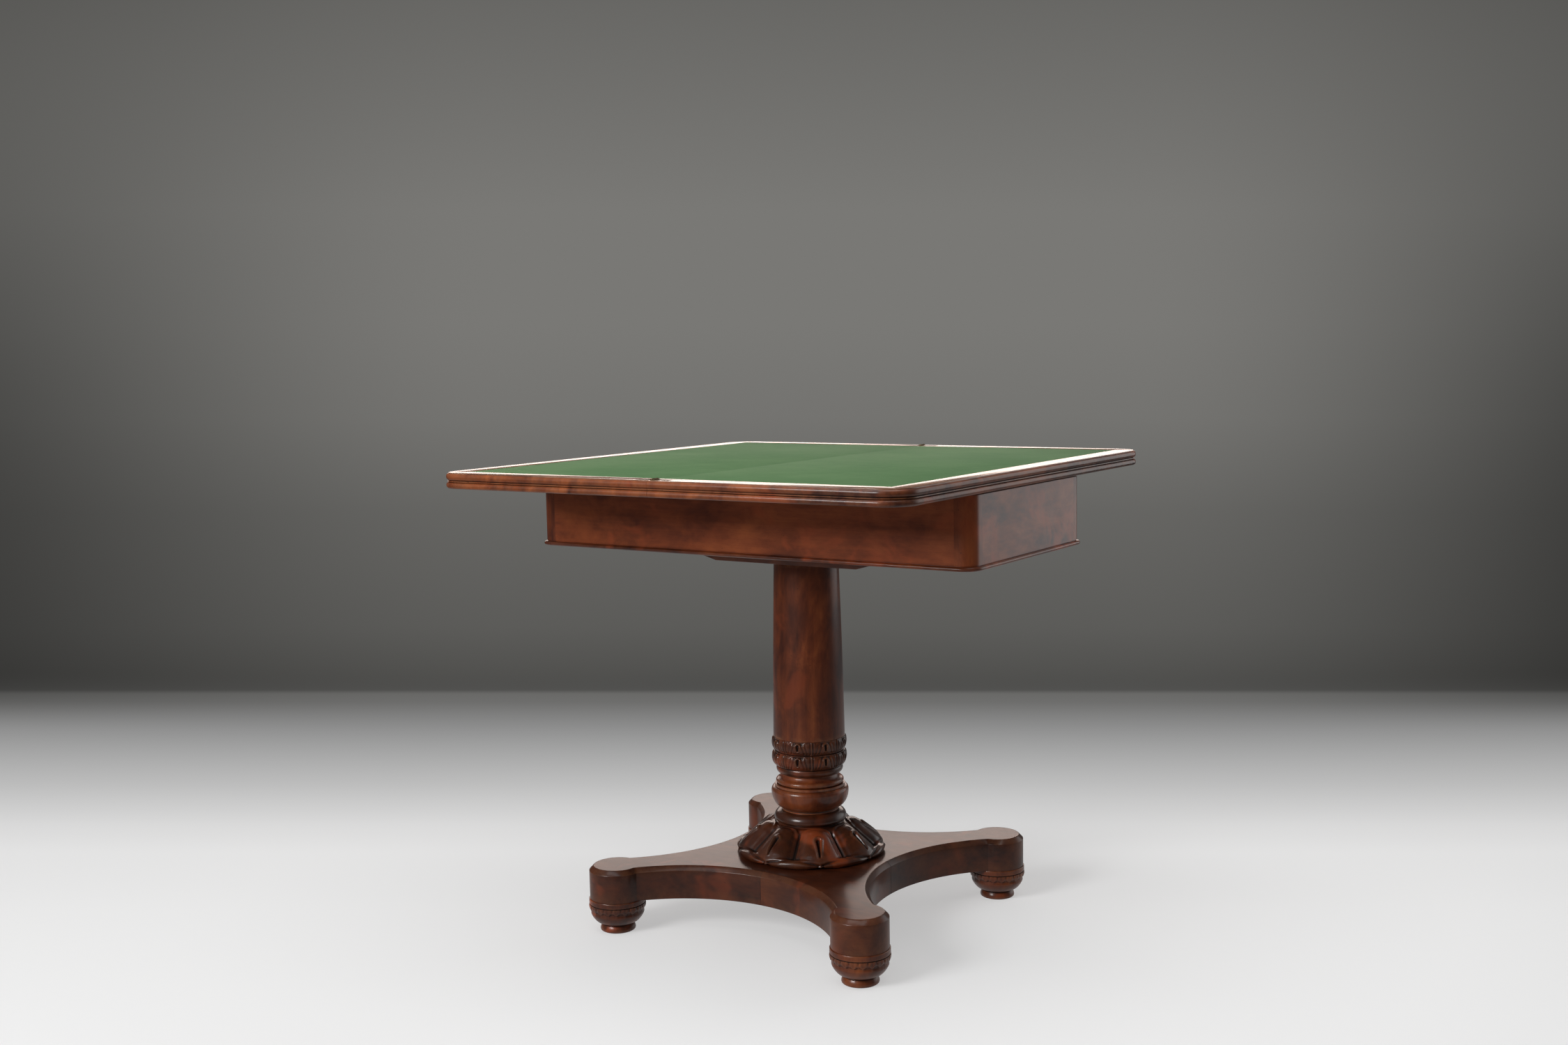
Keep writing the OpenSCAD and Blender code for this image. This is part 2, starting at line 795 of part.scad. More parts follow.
module bead_corners() {
    color(mahogany)
        for (mx = [0, 1], my = [0, 1])
            mirror([mx, 0, 0]) mirror([0, my, 0]) translate([bead_x, bead_y, frieze_z])
                rotate_extrude(angle = 90) translate([post_r, 0]) polygon(foot_bead_section());
}

// Strips along the tops of the rails that the turning leaf glides on
module glide_strips() {
    in = glide_inset + glide_w / 2;
    long_l = 2 * post_x;
    short_l = 2 * (frieze_w / 2 - in - glide_w / 2 - joint_gap);
    color(dark_wood) translate([0, 0, frieze_top])
        for (s = [-1, 1]) {
            translate([-long_l / 2, s * (frieze_w / 2 - in) - glide_w / 2, 0])
                cube([long_l, glide_w, turn_gap - pass_gap]);
            translate([s * (frieze_l / 2 - in) - glide_w / 2, -short_l / 2, 0])
                cube([glide_w, short_l, turn_gap - pass_gap]);
        }
}

// Wedge across a tenon's end, its thick end at the origin and its edge downwards
module wedge(d, gap) {
    half = d / 2 - 1 + gap;
    translate([0, half, 0]) rotate([90, 0, 0]) linear_extrude(2 * half)
        polygon([[-wedge_t / 2, 0], [wedge_t / 2, 0], [0.5, -wedge_l], [-0.5, -wedge_l]]);
}

// Wedge in the upper tenon's end, level with the well's floor
module top_wedge(gap) {
    translate([0, 0, board_z + middle_board_t]) wedge(top_tenon_d, gap);
}

// Wedge in the lower tenon's end, level with the platform's underside
module foot_wedge(gap) {
    translate([0, 0, platform_z]) mirror([0, 0, 1]) wedge(foot_tenon_d, gap);
}

module tenon_wedges() {
    color(pale_wood) {
        top_wedge(0);
        foot_wedge(0);
    }
}

// Plain shaft with its two tenons
module column_shaft() {
    top_r = top_tenon_d / 2;
    foot_r = foot_tenon_d / 2;
    color(mahogany) difference() {
        translate([0, 0, shaft_z]) rotate_extrude()
            polygon([[0, -foot_tenon_l], [foot_r, -foot_tenon_l], [foot_r, 0],
                     [shaft_foot_d / 2, 0], [shaft_top_d / 2, shaft_l], [top_r, shaft_l],
                     [top_r, shaft_l + top_tenon_l], [0, shaft_l + top_tenon_l]]);
        top_wedge(2);
        foot_wedge(2);
    }
}

// Turned ring on the lower tenon, from points of radius and height
module on_tenon(z, points) {
    bore = foot_tenon_d / 2 + joint_gap;
    h = points[len(points) - 1][1];
    translate([0, 0, z]) rotate_extrude()
        polygon(concat([[bore, 0]], points, [[bore, h]]));
}

// Collar of two tiers of leaves over a plain ring, as it is turned before the carving
module carved_collar() {
    belly = 6.5;
    r = collar_d / 2 - belly;
    round_h = 0.6 * collar_ring_h;
    upper_tier_z = collar_ring_h + lower_tier_h;
    upper_tier_h = collar_h - upper_tier_z;
    color(mahogany) on_tenon(collar_z, concat(
        arc(neck_d / 2, round_h, r - neck_d / 2, round_h, -90, 0, 8),
        [[r - quirk, collar_ring_h - quirk]],
        arc(r, collar_ring_h + lower_tier_h / 2, belly, lower_tier_h / 2, -70, 60),
        arc(r, upper_tier_z + upper_tier_h / 2, belly, upper_tier_h / 2, -60, 60),
        [[r + belly / 2, collar_h]]));
}

// Neck, torus, fillet band, ring and scotia, all turned from one piece
module turned_baluster() {
    r = torus_d / 2;
    torus_under = torus_y - foot_fillet_y;
    band_y = torus_y + torus_over;
    band_r = ring_d / 2 + 2 * quirk;
    ring_y = band_y + baluster_band_h + ring_h / 2;
    scotia_h = baluster_h - ring_y;
    color(mahogany) on_tenon(baluster_z, concat(
        [[neck_d / 2, 0], [neck_d / 2, foot_fillet_y - quirk],
         [neck_d / 2 + 2 * quirk, foot_fillet_y - quirk]],
        arc(neck_d / 2, torus_y, r - neck_d / 2, torus_under, -80, 0, 12),
        arc(band_r, torus_y, r - band_r, torus_over, 0, 84, 8),
        [[band_r - 2 * quirk, band_y], [band_r, band_y + quirk / 2],
         [band_r, band_y + baluster_band_h - quirk / 2],
         [band_r - 2 * quirk, band_y + baluster_band_h]],
        arc(ring_d / 2 - ring_h / 2, ring_y, ring_h / 2, ring_h / 2, -80, 45, 10),
        arc(ring_d / 2, baluster_h, (ring_d - neck_d) / 2, scotia_h * 0.7, 250, 180, 8)));
}

// Ovolo ring between the baluster and the dome
module ovolo_ring() {
    r = ovolo_d / 2;
    color(mahogany) on_tenon(ovolo_z, concat(
        [[r - ovolo_edge_h, 0]],
        arc(r - ovolo_edge_h, ovolo_edge_h, ovolo_edge_h, ovolo_edge_h, -80, 0, 6),
        arc(neck_d / 2, ovolo_edge_h, r - neck_d / 2, ovolo_h - ovolo_edge_h, 8, 90, 10)));
}

// Dome of hanging leaves, as it is turned before the carving
module carved_dome() {
    lip_r = dome_lip_h / 2;
    r = dome_d / 2 - lip_r;
    color(mahogany) on_tenon(dome_z, concat(
        [[r, 0]],
        arc(r, lip_r, lip_r, lip_r, -75, 60, 8),
        arc(dome_top_d / 2, -dome_sag, r - dome_top_d / 2, dome_h + dome_sag, 22, 90, 16)));
}

// Outline of one quarter of the platform at +X and +Y, without its drum
module quarter_arm() {
    reach = 2 * foot_xy;
    polygon([[joint_gap / 2, joint_gap / 2], [reach, joint_gap / 2], [joint_gap / 2, reach]]);
}

// Hollow side's cutter, wider at the top by the bevel
module side_cutter() {
    translate([waist + side_r, 0, platform_z]) rotate_extrude($fn = 180)
        polygon([[0, -lap], [side_r, -lap], [side_r, platform_t - bevel],
                 [side_r + bevel, platform_t], [side_r + bevel, platform_t + lap],
                 [0, platform_t + lap]]);
}

// Spline across the joint that lies along +X, grown by a clearance
module spline(gap) {
    z = platform_z + (platform_t - spline_t) / 2;
    translate([spline_x - gap, -spline_w / 2 - gap, z - gap])
        cube([spline_l + 2 * gap, spline_w + 2 * gap, spline_t + 2 * gap]);
}

module quarter() {
    drum_r = drum_d / 2;
    difference() {
        union() {
            difference() {
                translate([0, 0, platform_z]) linear_extrude(platform_t) quarter_arm();
                side_cutter();
                rotate(90) side_cutter();
            }
            translate([foot_xy, foot_xy, platform_z]) rotate_extrude()
                polygon([[0, 0], [drum_r, 0], [drum_r, platform_t - bevel],
                         [drum_r - bevel, platform_t], [0, platform_t]]);
        }
        translate([0, 0, platform_z - lap])
            cylinder(d = foot_tenon_d + 2 * joint_gap, h = platform_t + 2 * lap);
        translate([foot_xy, foot_xy, platform_z - lap])
            cylinder(d = spigot_d + 2 * joint_gap, h = spigot_l + lap + joint_gap);
        spline(joint_gap);
        rotate(90) spline(joint_gap);
    }
}

// Quarter turns that carry the corner at +X and +Y to each named corner
corner_turns = [-90, 0, 90, 180];

module platform_quarter(i) {
    color(mahogany) rotate(corner_turns[i]) quarter();
}

module platform_splines() {
    color(pale_wood)
        for (a = [0:90:270])
            rotate(a) spline(0);
}

// Turned foot: band, carved bowl, neck and disc, with its spigot up in the drum
module foot(i) {
    s = corner_signs[i];
    bowl_r = bowl_d / 2;
    disc_r = disc_d / 2;
    disc_h = bowl_rise * 0.6;
    band_z = foot_h - foot_band_h;
    belly_z = (bowl_rise + 3 * band_z) / 4;
    color(mahogany) translate([s.x * foot_xy, s.y * foot_xy, 0]) rotate_extrude()
        polygon(concat(
            [[0, 0], [disc_r - disc_h / 3, 0]],
            arc(disc_r - disc_h / 2, disc_h / 2, disc_h / 2, disc_h / 2, -60, 80, 6),
            [[disc_r - disc_h / 2, bowl_rise]],
            arc(disc_r, belly_z, bowl_r - disc_r, belly_z - bowl_rise, -85, 0, 12),
            [[bowl_r, band_z - quirk], [bowl_r - quirk, band_z], [bowl_r - quirk, foot_h - quirk],
             [bowl_r - 2 * quirk, foot_h], [spigot_d / 2, foot_h],
             [spigot_d / 2, foot_h + spigot_l], [0, foot_h + spigot_l]]));
}

// Corner post moved to its named corner
module post(i) {
    s = corner_signs[i];
    color(mahogany) mirror([s.x < 0 ? 1 : 0, 0, 0]) mirror([0, s.y < 0 ? 1 : 0, 0]) corner_post();
}

for (i = [0:3]) {
    foot(i);
    platform_quarter(i);
    post(i);
}
platform_splines();
carved_dome();
ovolo_ring();
turned_baluster();
carved_collar();
column_shaft();
tenon_wedges();
bearer_block();
bearer_screws();
well_middle_board();
well_left_board();
well_right_board();
glue_blocks();
frieze_front();
frieze_back();
frieze_left();
frieze_right();
bead_front();
bead_back();
bead_left();
bead_right();
bead_corners();
glide_strips();
pivot_rail();
wear_washer();
lower_leaf_board();
lower_leaf_banding();
lower_leaf_cloth();
pivot_plate();
pivot_plate_screws();
stop_pin();
pivot_washer();
pivot_nut();
lower_hinge_plates();
lower_hinge_screws();
hinge_pins();
upper_leaf_board();
upper_leaf_banding();
upper_leaf_cloth();
upper_hinge_plates();
upper_hinge_screws();
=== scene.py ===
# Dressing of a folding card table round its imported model: finer pieces, carving, finishes and stage

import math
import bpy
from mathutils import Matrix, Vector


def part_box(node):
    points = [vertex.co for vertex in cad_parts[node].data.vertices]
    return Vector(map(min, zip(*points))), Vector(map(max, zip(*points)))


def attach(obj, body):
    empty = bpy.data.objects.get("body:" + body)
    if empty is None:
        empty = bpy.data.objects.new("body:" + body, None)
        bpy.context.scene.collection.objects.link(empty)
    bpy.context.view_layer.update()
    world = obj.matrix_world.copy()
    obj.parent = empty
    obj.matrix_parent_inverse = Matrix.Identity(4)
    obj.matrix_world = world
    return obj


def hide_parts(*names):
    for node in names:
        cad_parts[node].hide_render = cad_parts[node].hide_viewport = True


bl_info = {
    "name": "Folding card table",
    "version": (1, 0, 0),
    "blender": (4, 5, 0),
    "location": "3D View > Sidebar > Card table",
    "description": "Builds the detailed pieces, finishes and stage of a folding card table",
    "category": "Object",
}

import bmesh
import bpy
import numpy as np
from mathutils import Matrix, Vector

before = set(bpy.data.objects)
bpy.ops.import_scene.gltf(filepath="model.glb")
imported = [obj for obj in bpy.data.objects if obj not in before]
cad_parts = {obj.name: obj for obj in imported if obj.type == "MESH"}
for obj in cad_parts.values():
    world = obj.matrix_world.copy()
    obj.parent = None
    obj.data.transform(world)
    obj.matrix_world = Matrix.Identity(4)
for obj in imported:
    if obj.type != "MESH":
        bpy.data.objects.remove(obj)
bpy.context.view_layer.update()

MM = 0.001
CORNERS = {
    "front_right": (1, -1),
    "back_right": (1, 1),
    "back_left": (-1, 1),
    "front_left": (-1, -1),
}
CORNER_TURNS = (-90, 0, 90, 180)


def node_box(name):
    """Lowest and highest corner of a CAD node, in millimetres."""
    low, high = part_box(name)
    return np.array(low) / MM, np.array(high) / MM


# Lines and profiles, in millimetres


def arc(x, y, rx, ry, start, end, steps):
    """Points on an ellipse from one angle to another, in degrees."""
    turn = np.radians(np.linspace(start, end, steps + 1))
    return np.column_stack([x + rx * np.cos(turn), y + ry * np.sin(turn)])


def whole_turn(count):
    """Equal steps round a circle, in radians."""
    return np.linspace(0, 2 * math.pi, count, endpoint=False)


def distances(line):
    """Distance of each point of a line from its start."""
    steps = np.linalg.norm(np.diff(line, axis=0), axis=1)
    return np.concatenate([[0.0], np.cumsum(steps)])


def resampled(line, count):
    """The same line as a number of points at equal steps."""
    along = distances(line)
    at = np.linspace(0.0, along[-1], count)
    return np.column_stack([np.interp(at, along, column) for column in line.T])


def smooth_line(points, count):
    """Smooth line through points, as a number of points at equal steps."""
    given = np.array(points, float)
    first = 2 * given[0] - given[1]
    last = 2 * given[-1] - given[-2]
    ends = np.vstack([first, given, last])
    t = np.linspace(0, 1, 24, endpoint=False)[:, None]
    parts = []
    for a, b, c, d in zip(ends, ends[1:], ends[2:], ends[3:]):
        square = 2 * a - 5 * b + 4 * c - d
        cube = 3 * b - 3 * c + d - a
        parts.append(0.5 * (2 * b + (c - a) * t + square * t**2 + cube * t**3))
    return resampled(np.vstack([*parts, given[-1:]]), count)


def outward(line):
    """Outward directions of a profile that is listed from its foot up."""
    step = np.gradient(line, axis=0)
    step /= np.linalg.norm(step, axis=1)[:, None] + 1e-9
    return np.column_stack([step[:, 1], -step[:, 0]])


def blurred(values, times, axis, around=False):
    """Values evened out along one axis, a number of times."""
    values = np.moveaxis(np.array(values, float), axis, 0)
    for _ in range(times):
        if around:
            before, after = np.roll(values, 1, axis=0), np.roll(values, -1, axis=0)
        else:
            before = np.concatenate([values[:1], values[:-1]])
            after = np.concatenate([values[1:], values[-1:]])
        values = (before + 2 * values + after) / 4
    return np.moveaxis(values, 0, axis)


def line_marks(line, limit=0.4):
    """How hollow and how proud each point of a profile is, from 0 to 1: marks that the wood paints as
    waxy dirt and painted shade in the hollows, and as wear and painted highlights on the edges.
    """
    step, spread = 0.25, 60
    along = distances(line)
    fine = resampled(line, int(along[-1] / step) + 2)
    proud = ((fine - blurred(fine, spread, 0)) * outward(fine)).sum(axis=1)
    proud = np.interp(along, np.linspace(0, along[-1], len(fine)), proud)
    return np.clip(-proud / limit, 0, 1), np.clip(proud / limit, 0, 1)


def rise(low, high, value):
    """Rises smoothly from 0 at the low value to 1 at the high one."""
    t = np.clip((value - low) / (high - low), 0, 1)
    return t * t * (3 - 2 * t)


def hump(centre, width, value):
    """Bell that is 1 at its centre."""
    return np.exp(-(((value - centre) / width) ** 2))


# Meshes, given in millimetres


def mesh_of(name, points, faces, marks=None, edges=()):
    """Mesh from points and faces, with its hollow and worn marks as attributes, which the wood paints
    as waxy dirt and painted shade, and as wear and painted highlights.
    """
    mesh = bpy.data.meshes.new(name)
    mesh.from_pydata((np.asarray(points).reshape(-1, 3) * MM).tolist(), list(edges), faces)
    if marks is not None:
        for label, values in zip(("hollow", "worn"), marks):
            attribute = mesh.attributes.new(label, "FLOAT", "POINT")
            attribute.data.foreach_set("value", np.asarray(values, np.float32).ravel())
    return mesh


def finished(mesh, angle=32.0, weld=1e-6):
    """Welds a mesh, turns its faces outwards, marks its sharp edges and keeps its large flats flat."""
    large_flat, along_axis = 1e-3, 0.99999
    shape = bmesh.new()
    shape.from_mesh(mesh)
    bmesh.ops.remove_doubles(shape, verts=shape.verts, dist=weld)
    bmesh.ops.dissolve_degenerate(shape, dist=weld, edges=shape.edges)
    bmesh.ops.recalc_face_normals(shape, faces=shape.faces)
    shape.to_mesh(mesh)
    shape.free()
    mesh.shade_smooth()
    for face in mesh.polygons:
        square = max(abs(part) for part in face.normal) > along_axis
        face.use_smooth = len(face.vertices) <= 4 and not (square and face.area > large_flat)
    mesh.set_sharp_from_angle(angle=math.radians(angle))
    return mesh


def skinned(name, grid, marks=None, closed=False, capped=False):
    """Mesh over rows of points whose columns go round, closed into a ring or capped at its ends."""
    rows, columns = grid.shape[:2]
    index = np.arange(rows * columns).reshape(rows, columns)
    upper = np.roll(index, -1, axis=0)
    if not closed:
        index, upper = index[:-1], upper[:-1]
    quads = np.stack(
        [index, np.roll(index, -1, axis=1), np.roll(upper, -1, axis=1), upper], axis=-1
    )
    faces = quads.reshape(-1, 4).tolist()
    if capped:
        faces.append(list(range(columns))[::-1])
        faces.append(list(range((rows - 1) * columns, rows * columns)))
    return mesh_of(name, grid, faces, marks)


def prism(name, outline, low, high, arris):
    """Flat piece with a fine rounded edge along its top."""
    count = len(outline)
    points = [(x, y, z) for z in (low, high) for x, y in outline]
    sides = [(i, (i + 1) % count, count + (i + 1) % count, count + i) for i in range(count)]
    faces = [list(range(count))[::-1], list(range(count, 2 * count)), *sides]
    mesh = mesh_of(name, points, faces)
    shape = bmesh.new()
    shape.from_mesh(mesh)
    bmesh.ops.recalc_face_normals(shape, faces=shape.faces)
    near_top = (high - 0.01) * MM
    rim = [e for e in shape.edges if all(v.co.z > near_top for v in e.verts)]
    bmesh.ops.bevel(shape, geom=rim, offset=arris * MM, segments=2, profile=0.5, affect="EDGES")
    shape.to_mesh(mesh)
    shape.free()
    return finished(mesh)


def arrised_copy(name, node, arris):
    """Copy of a CAD node with welded corners and, where an arris is given, fine rounded edges."""
    shape = bmesh.new()
    shape.from_mesh(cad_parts[node].data)
    bmesh.ops.remove_doubles(shape, verts=shape.verts, dist=1e-6)
    flat, sharp_from = math.radians(1.0), math.radians(30.0)
    bmesh.ops.dissolve_limit(shape, angle_limit=flat, verts=shape.verts, edges=shape.edges)
    if arris:
        sharp = [
            e for e in shape.edges
            if len(e.link_faces) == 2 and e.calc_face_angle(0.0) > sharp_from
        ]
        bmesh.ops.bevel(
            shape, geom=sharp, offset=arris * MM, segments=2, profile=0.5, affect="EDGES"
        )
    mesh = bpy.data.meshes.new(name)
    shape.to_mesh(mesh)
    shape.free()
    for label in [a.name for a in mesh.attributes if a.name == "custom_normal"]:
        mesh.attributes.remove(mesh.attributes[label])
    return finished(mesh)


def linked(name, mesh):
    """New object for a mesh, in the scene."""
    made = bpy.data.objects.new(name, mesh)
    bpy.context.scene.collection.objects.link(made)
    return made


def cut(mesh, cutter):
    """The mesh with a cutter's room taken out of it."""
    body, tool = linked("cut body", mesh), linked("cut tool", cutter)
    modifier = body.modifiers.new("room", "BOOLEAN")
    modifier.object = tool
    modifier.solver = "EXACT"
    graph = bpy.context.evaluated_depsgraph_get()
    made = bpy.data.meshes.new_from_object(body.evaluated_get(graph))
    bpy.data.objects.remove(body)
    bpy.data.objects.remove(tool)
    return made


def box_mesh(name, low, high):
    """Plain box from its lowest to its highest corner."""
    points = []
    for z in (low[2], high[2]):
        points += [(low[0], low[1], z), (high[0], low[1], z)]
        points += [(high[0], high[1], z), (low[0], high[1], z)]
    sides = [(i, (i + 1) % 4, 4 + (i + 1) % 4, 4 + i) for i in range(4)]
    return mesh_of(name, points, [(3, 2, 1, 0), (4, 5, 6, 7), *sides])


def add_piece(name, mesh, body, slot, material, *nodes):
    """Puts a finished mesh on a body, with its finish, in place of CAD nodes."""
    mesh.name = name
    mesh.materials.clear()
    mesh.materials.append(material)
    piece = linked(name, mesh)
    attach(piece, body)
    if nodes:
        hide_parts(*nodes)
    return piece


# Node trees


class Socket:
    """An output of a node that sums can be written with."""

    def __init__(self, nodes, socket):
        self.nodes = nodes
        self.socket = socket

    def math(self, operation, first, second):
        return self.nodes.add("ShaderNodeMath", {"operation": operation}, {0: first, 1: second})

    def __add__(self, other):
        return self.math("ADD", self, other)

    def __radd__(self, other):
        return self.math("ADD", other, self)

    def __sub__(self, other):
        return self.math("SUBTRACT", self, other)

    def __rsub__(self, other):
        return self.math("SUBTRACT", other, self)

    def __mul__(self, other):
        return self.math("MULTIPLY", self, other)

    def __rmul__(self, other):
        return self.math("MULTIPLY", other, self)

    def rise(self, low, high, least=0.0, most=1.0):
        """Goes smoothly from one value to another as this one goes from low to high."""
        values = {0: self, 1: low, 2: high, 3: least, 4: most}
        return self.nodes.add("ShaderNodeMapRange", {"interpolation_type": "SMOOTHSTEP"}, values)


class Nodes:
    """A node tree, and the one way that nodes are added to it."""

    def __init__(self, tree):
        self.tree = tree

    def add(self, kind, settings=None, values=None, output=0):
        """Adds a node with its settings and the values or links of its sockets."""
        node = self.tree.nodes.new(kind)
        for name, setting in (settings or {}).items():
            if name == "stops":
                self.place_stops(node.color_ramp, setting)
            else:
                setattr(node, name, setting)
        for key, value in (values or {}).items():
            if isinstance(value, Socket):
                self.tree.links.new(value.socket, node.inputs[key])
            else:
                node.inputs[key].default_value = value
        return Socket(self, node.outputs[output] if len(node.outputs) else None)

    def place_stops(self, ramp, stops):
        """Gives a colour ramp its stops, from the lowest up."""
        while len(ramp.elements) < len(stops):
            ramp.elements.new(0.5)
        for element, (place, colour) in zip(ramp.elements, stops):
            element.position = place
        for element, (place, colour) in zip(ramp.elements, stops):
            element.color = (*colour[:3], 1.0)

    def ramp(self, factor, stops):
        """Colour from a ramp."""
        return self.add("ShaderNodeValToRGB", {"stops": stops}, {0: factor})

    def mix(self, factor, first, second, way="MIX"):
        """Mixes two colours."""
        settings = {"data_type": "RGBA", "blend_type": way, "clamp_result": False}
        first, second = (c if isinstance(c, Socket) else (*c[:3], 1.0) for c in (first, second))
        return self.add("ShaderNodeMix", settings, {0: factor, 6: first, 7: second}, output=2)

    def noise(self, place, scale, detail=2.0, roughness=0.5, distortion=0.0):
        """Noise at a place, from 0 to 1."""
        values = {"Vector": place, "Scale": scale, "Detail": detail}
        values.update({"Roughness": roughness, "Distortion": distortion})
        return self.add("ShaderNodeTexNoise", {}, values)

    def place(self, scale=(1, 1, 1), turn=0.0, shift=(0, 0, 0)):
        """Object coordinates, shifted, turned about the upright axis and scaled."""
        given = self.add("ShaderNodeTexCoord", output=3)
        values = {"Vector": given, "Location": shift, "Rotation": (0, 0, turn), "Scale": scale}
        return self.add("ShaderNodeMapping", {}, values)

    def mark(self, name):
        """A number kept at each vertex of a mesh, and 0 where a mesh has none."""
        return self.add("ShaderNodeAttribute", {"attribute_name": name}, output=2)


def new_material(name):
    """Empty material and its nodes."""
    material = bpy.data.materials.new(name)
    material.use_nodes = True
    material.node_tree.nodes.clear()
    return material, Nodes(material.node_tree)


def close_surface(nodes, values):
    """Ends a material in one surface shader with the given sockets."""
    surface = nodes.add("ShaderNodeBsdfPrincipled", {}, values)
    nodes.add("ShaderNodeOutputMaterial", {}, {"Surface": surface})


def bumped(nodes, height, depth):
    """Normal from a height, whose full range is a depth in metres."""
    return nodes.add("ShaderNodeBump", {}, {"Strength": 0.5, "Distance": depth, "Height": height})


def wood(name, grain, tones, turn=0.0, shift=(0, 0, 0), polish=1.0, figure=1.0):
    """Wood with its figure, pores, waxy dirt and painted shade in the hollows, and worn edges with
    painted highlights. The grain follows X, Y or Z.
    """
    material, nodes = new_material(name)

    def stretched(along, across):
        scale = [across] * 3
        scale["XYZ".index(grain)] = along
        return nodes.place(tuple(scale), turn, shift)

    broad = nodes.noise(stretched(2.6, 7.0), 1.0, 4.0, 0.6, 1.2)
    mottle = nodes.noise(stretched(15.0, 34.0), 1.0, 4.0, 0.65, 0.6)
    streak = nodes.noise(stretched(6.0, 170.0), 1.0, 3.0, 0.6)
    pores = nodes.noise(stretched(90.0, 1500.0), 1.0, 1.0).rise(0.62, 0.74)
    cloud = nodes.noise(nodes.place(), 7.0, 4.0, 0.6)
    patch = nodes.noise(nodes.place((1, 1, 1), 0.3, shift), 13.0, 3.0, 0.6, 0.4)
    scuffs = nodes.noise(nodes.place(), 45.0, 4.0, 0.65)
    specks = nodes.noise(nodes.place(), 260.0, 2.0, 0.5).rise(0.71, 0.77)
    hollow = nodes.mark("hollow")
    worn = nodes.mark("worn")
    tone = broad * (0.62 * figure) + mottle * (0.30 * figure) + streak * 0.08 + (0.46 - 0.46 * figure)
    colour = nodes.ramp(tone, [(0.40, tones["dark"]), (0.50, tones["mid"]), (0.62, tones["light"])])
    colour = nodes.mix(pores * 0.25, colour, tones["pore"])
    colour = nodes.mix(cloud.rise(0.50, 0.70) * (0.60 * figure), colour, tones["dark"])
    colour = nodes.mix(patch.rise(0.54, 0.68) * (0.60 * figure), colour, tones["glow"])
    colour = nodes.mix((cloud + scuffs * 0.35).rise(0.60, 0.38) * 0.35, colour, tones["light"])
    # Painted highlight as well as wear: proud edges and arrises take a lighter orange.
    rubbed = worn * scuffs.rise(0.34, 0.62)
    colour = nodes.mix(rubbed * 0.75, colour, tones["worn"])
    colour = nodes.mix(specks * 0.6, colour, tones["wax_and_shade"])
    # Painted shade as well as waxy dirt: the hollows are darkened nearly to black.
    colour = nodes.mix(hollow.rise(0.05, 0.85) * 0.90, colour, tones["wax_and_shade"])
    rough = 0.36 + cloud * 0.12 + scuffs * 0.12 + hollow * 0.20 - rubbed * 0.06
    height = mottle * 0.3 - pores * 0.3 + scuffs * 0.35 - specks * 0.5
    close_surface(nodes, {
        "Base Color": colour,
        "Roughness": rough,
        "Normal": bumped(nodes, height, 0.00010),
        "Specular IOR Level": 0.22,
        "Coat Weight": (1.0 - hollow * 0.8) * (0.42 * polish),
        "Coat Roughness": 0.19,
    })
    return material


def baize_material(name, finish):
    """Woollen playing cloth, faded in patches and a little worn."""
    material, nodes = new_material(name)
    nap = nodes.noise(nodes.place(), 900.0, 3.0, 0.7)
    weave = nodes.noise(nodes.place((1, 0.35, 1)), 420.0, 2.0, 0.6)
    fibre = nodes.noise(nodes.place((0.35, 1, 1), 0.5), 130.0, 4.0, 0.7)
    patch = nodes.noise(nodes.place(), 5.0, 4.0, 0.6)
    rubbed = nodes.noise(nodes.place((0.6, 1.6, 1), 0.5), 9.0, 3.0, 0.6)
    colour = nodes.mix(patch.rise(0.36, 0.66) * 0.5, finish.baize, finish.baize_faded)
    colour = nodes.mix(rubbed.rise(0.60, 0.80) * 0.30, colour, finish.baize_faded)
    colour = nodes.mix(fibre.rise(0.50, 0.75) * 0.35, colour, finish.baize_faded)
    colour = nodes.mix(fibre.rise(0.50, 0.28) * 0.30, colour, (0.045, 0.110, 0.040))
    colour = nodes.mix(nap.rise(0.55, 0.85) * 0.30, colour, (0.03, 0.05, 0.03))
    close_surface(nodes, {
        "Base Color": colour,
        "Roughness": 0.86 + nap * 0.1,
        "Normal": bumped(nodes, nap + weave * 0.6, 0.0003),
        "Specular IOR Level": 0.12,
        "Sheen Weight": 0.12,
        "Sheen Roughness": 0.5,
        "Sheen Tint": (0.50, 0.70, 0.45, 1.0),
    })
    return material


def metal_material(name, clean, tarnish, rough):
    """Old metal with tarnish in patches and fine scratches."""
    material, nodes = new_material(name)
    patch = nodes.noise(nodes.place(), 160.0, 4.0, 0.6)
    scratch = nodes.noise(nodes.place((40, 900, 300), 0.4), 1.0, 2.0)
    dull = patch.rise(0.40, 0.68)
    close_surface(nodes, {
        "Base Color": nodes.mix(dull, clean, tarnish),
        "Metallic": 1.0 - dull * 0.35,
        "Roughness": rough + dull * 0.25 + scratch * 0.1,
        "Normal": bumped(nodes, patch * 0.5 + scratch * 0.5, 0.00006),
    })
    return material


# Geometry trees


def new_geometry_tree(name, given):
    """Geometry tree with named inputs, each with its kind and default."""
    tree = bpy.data.node_groups.new(name, "GeometryNodeTree")
    tree.interface.new_socket("Geometry", in_out="INPUT", socket_type="NodeSocketGeometry")
    for label, (kind, value) in given.items():
        socket = tree.interface.new_socket(label, in_out="INPUT", socket_type=kind)
        if value is not None:
            socket.default_value = value
    tree.interface.new_socket("Geometry", in_out="OUTPUT", socket_type="NodeSocketGeometry")
    nodes = Nodes(tree)
    entry = tree.nodes.new("NodeGroupInput")
    inputs = {socket.name: Socket(nodes, socket) for socket in entry.outputs if socket.name}
    return tree, nodes, inputs


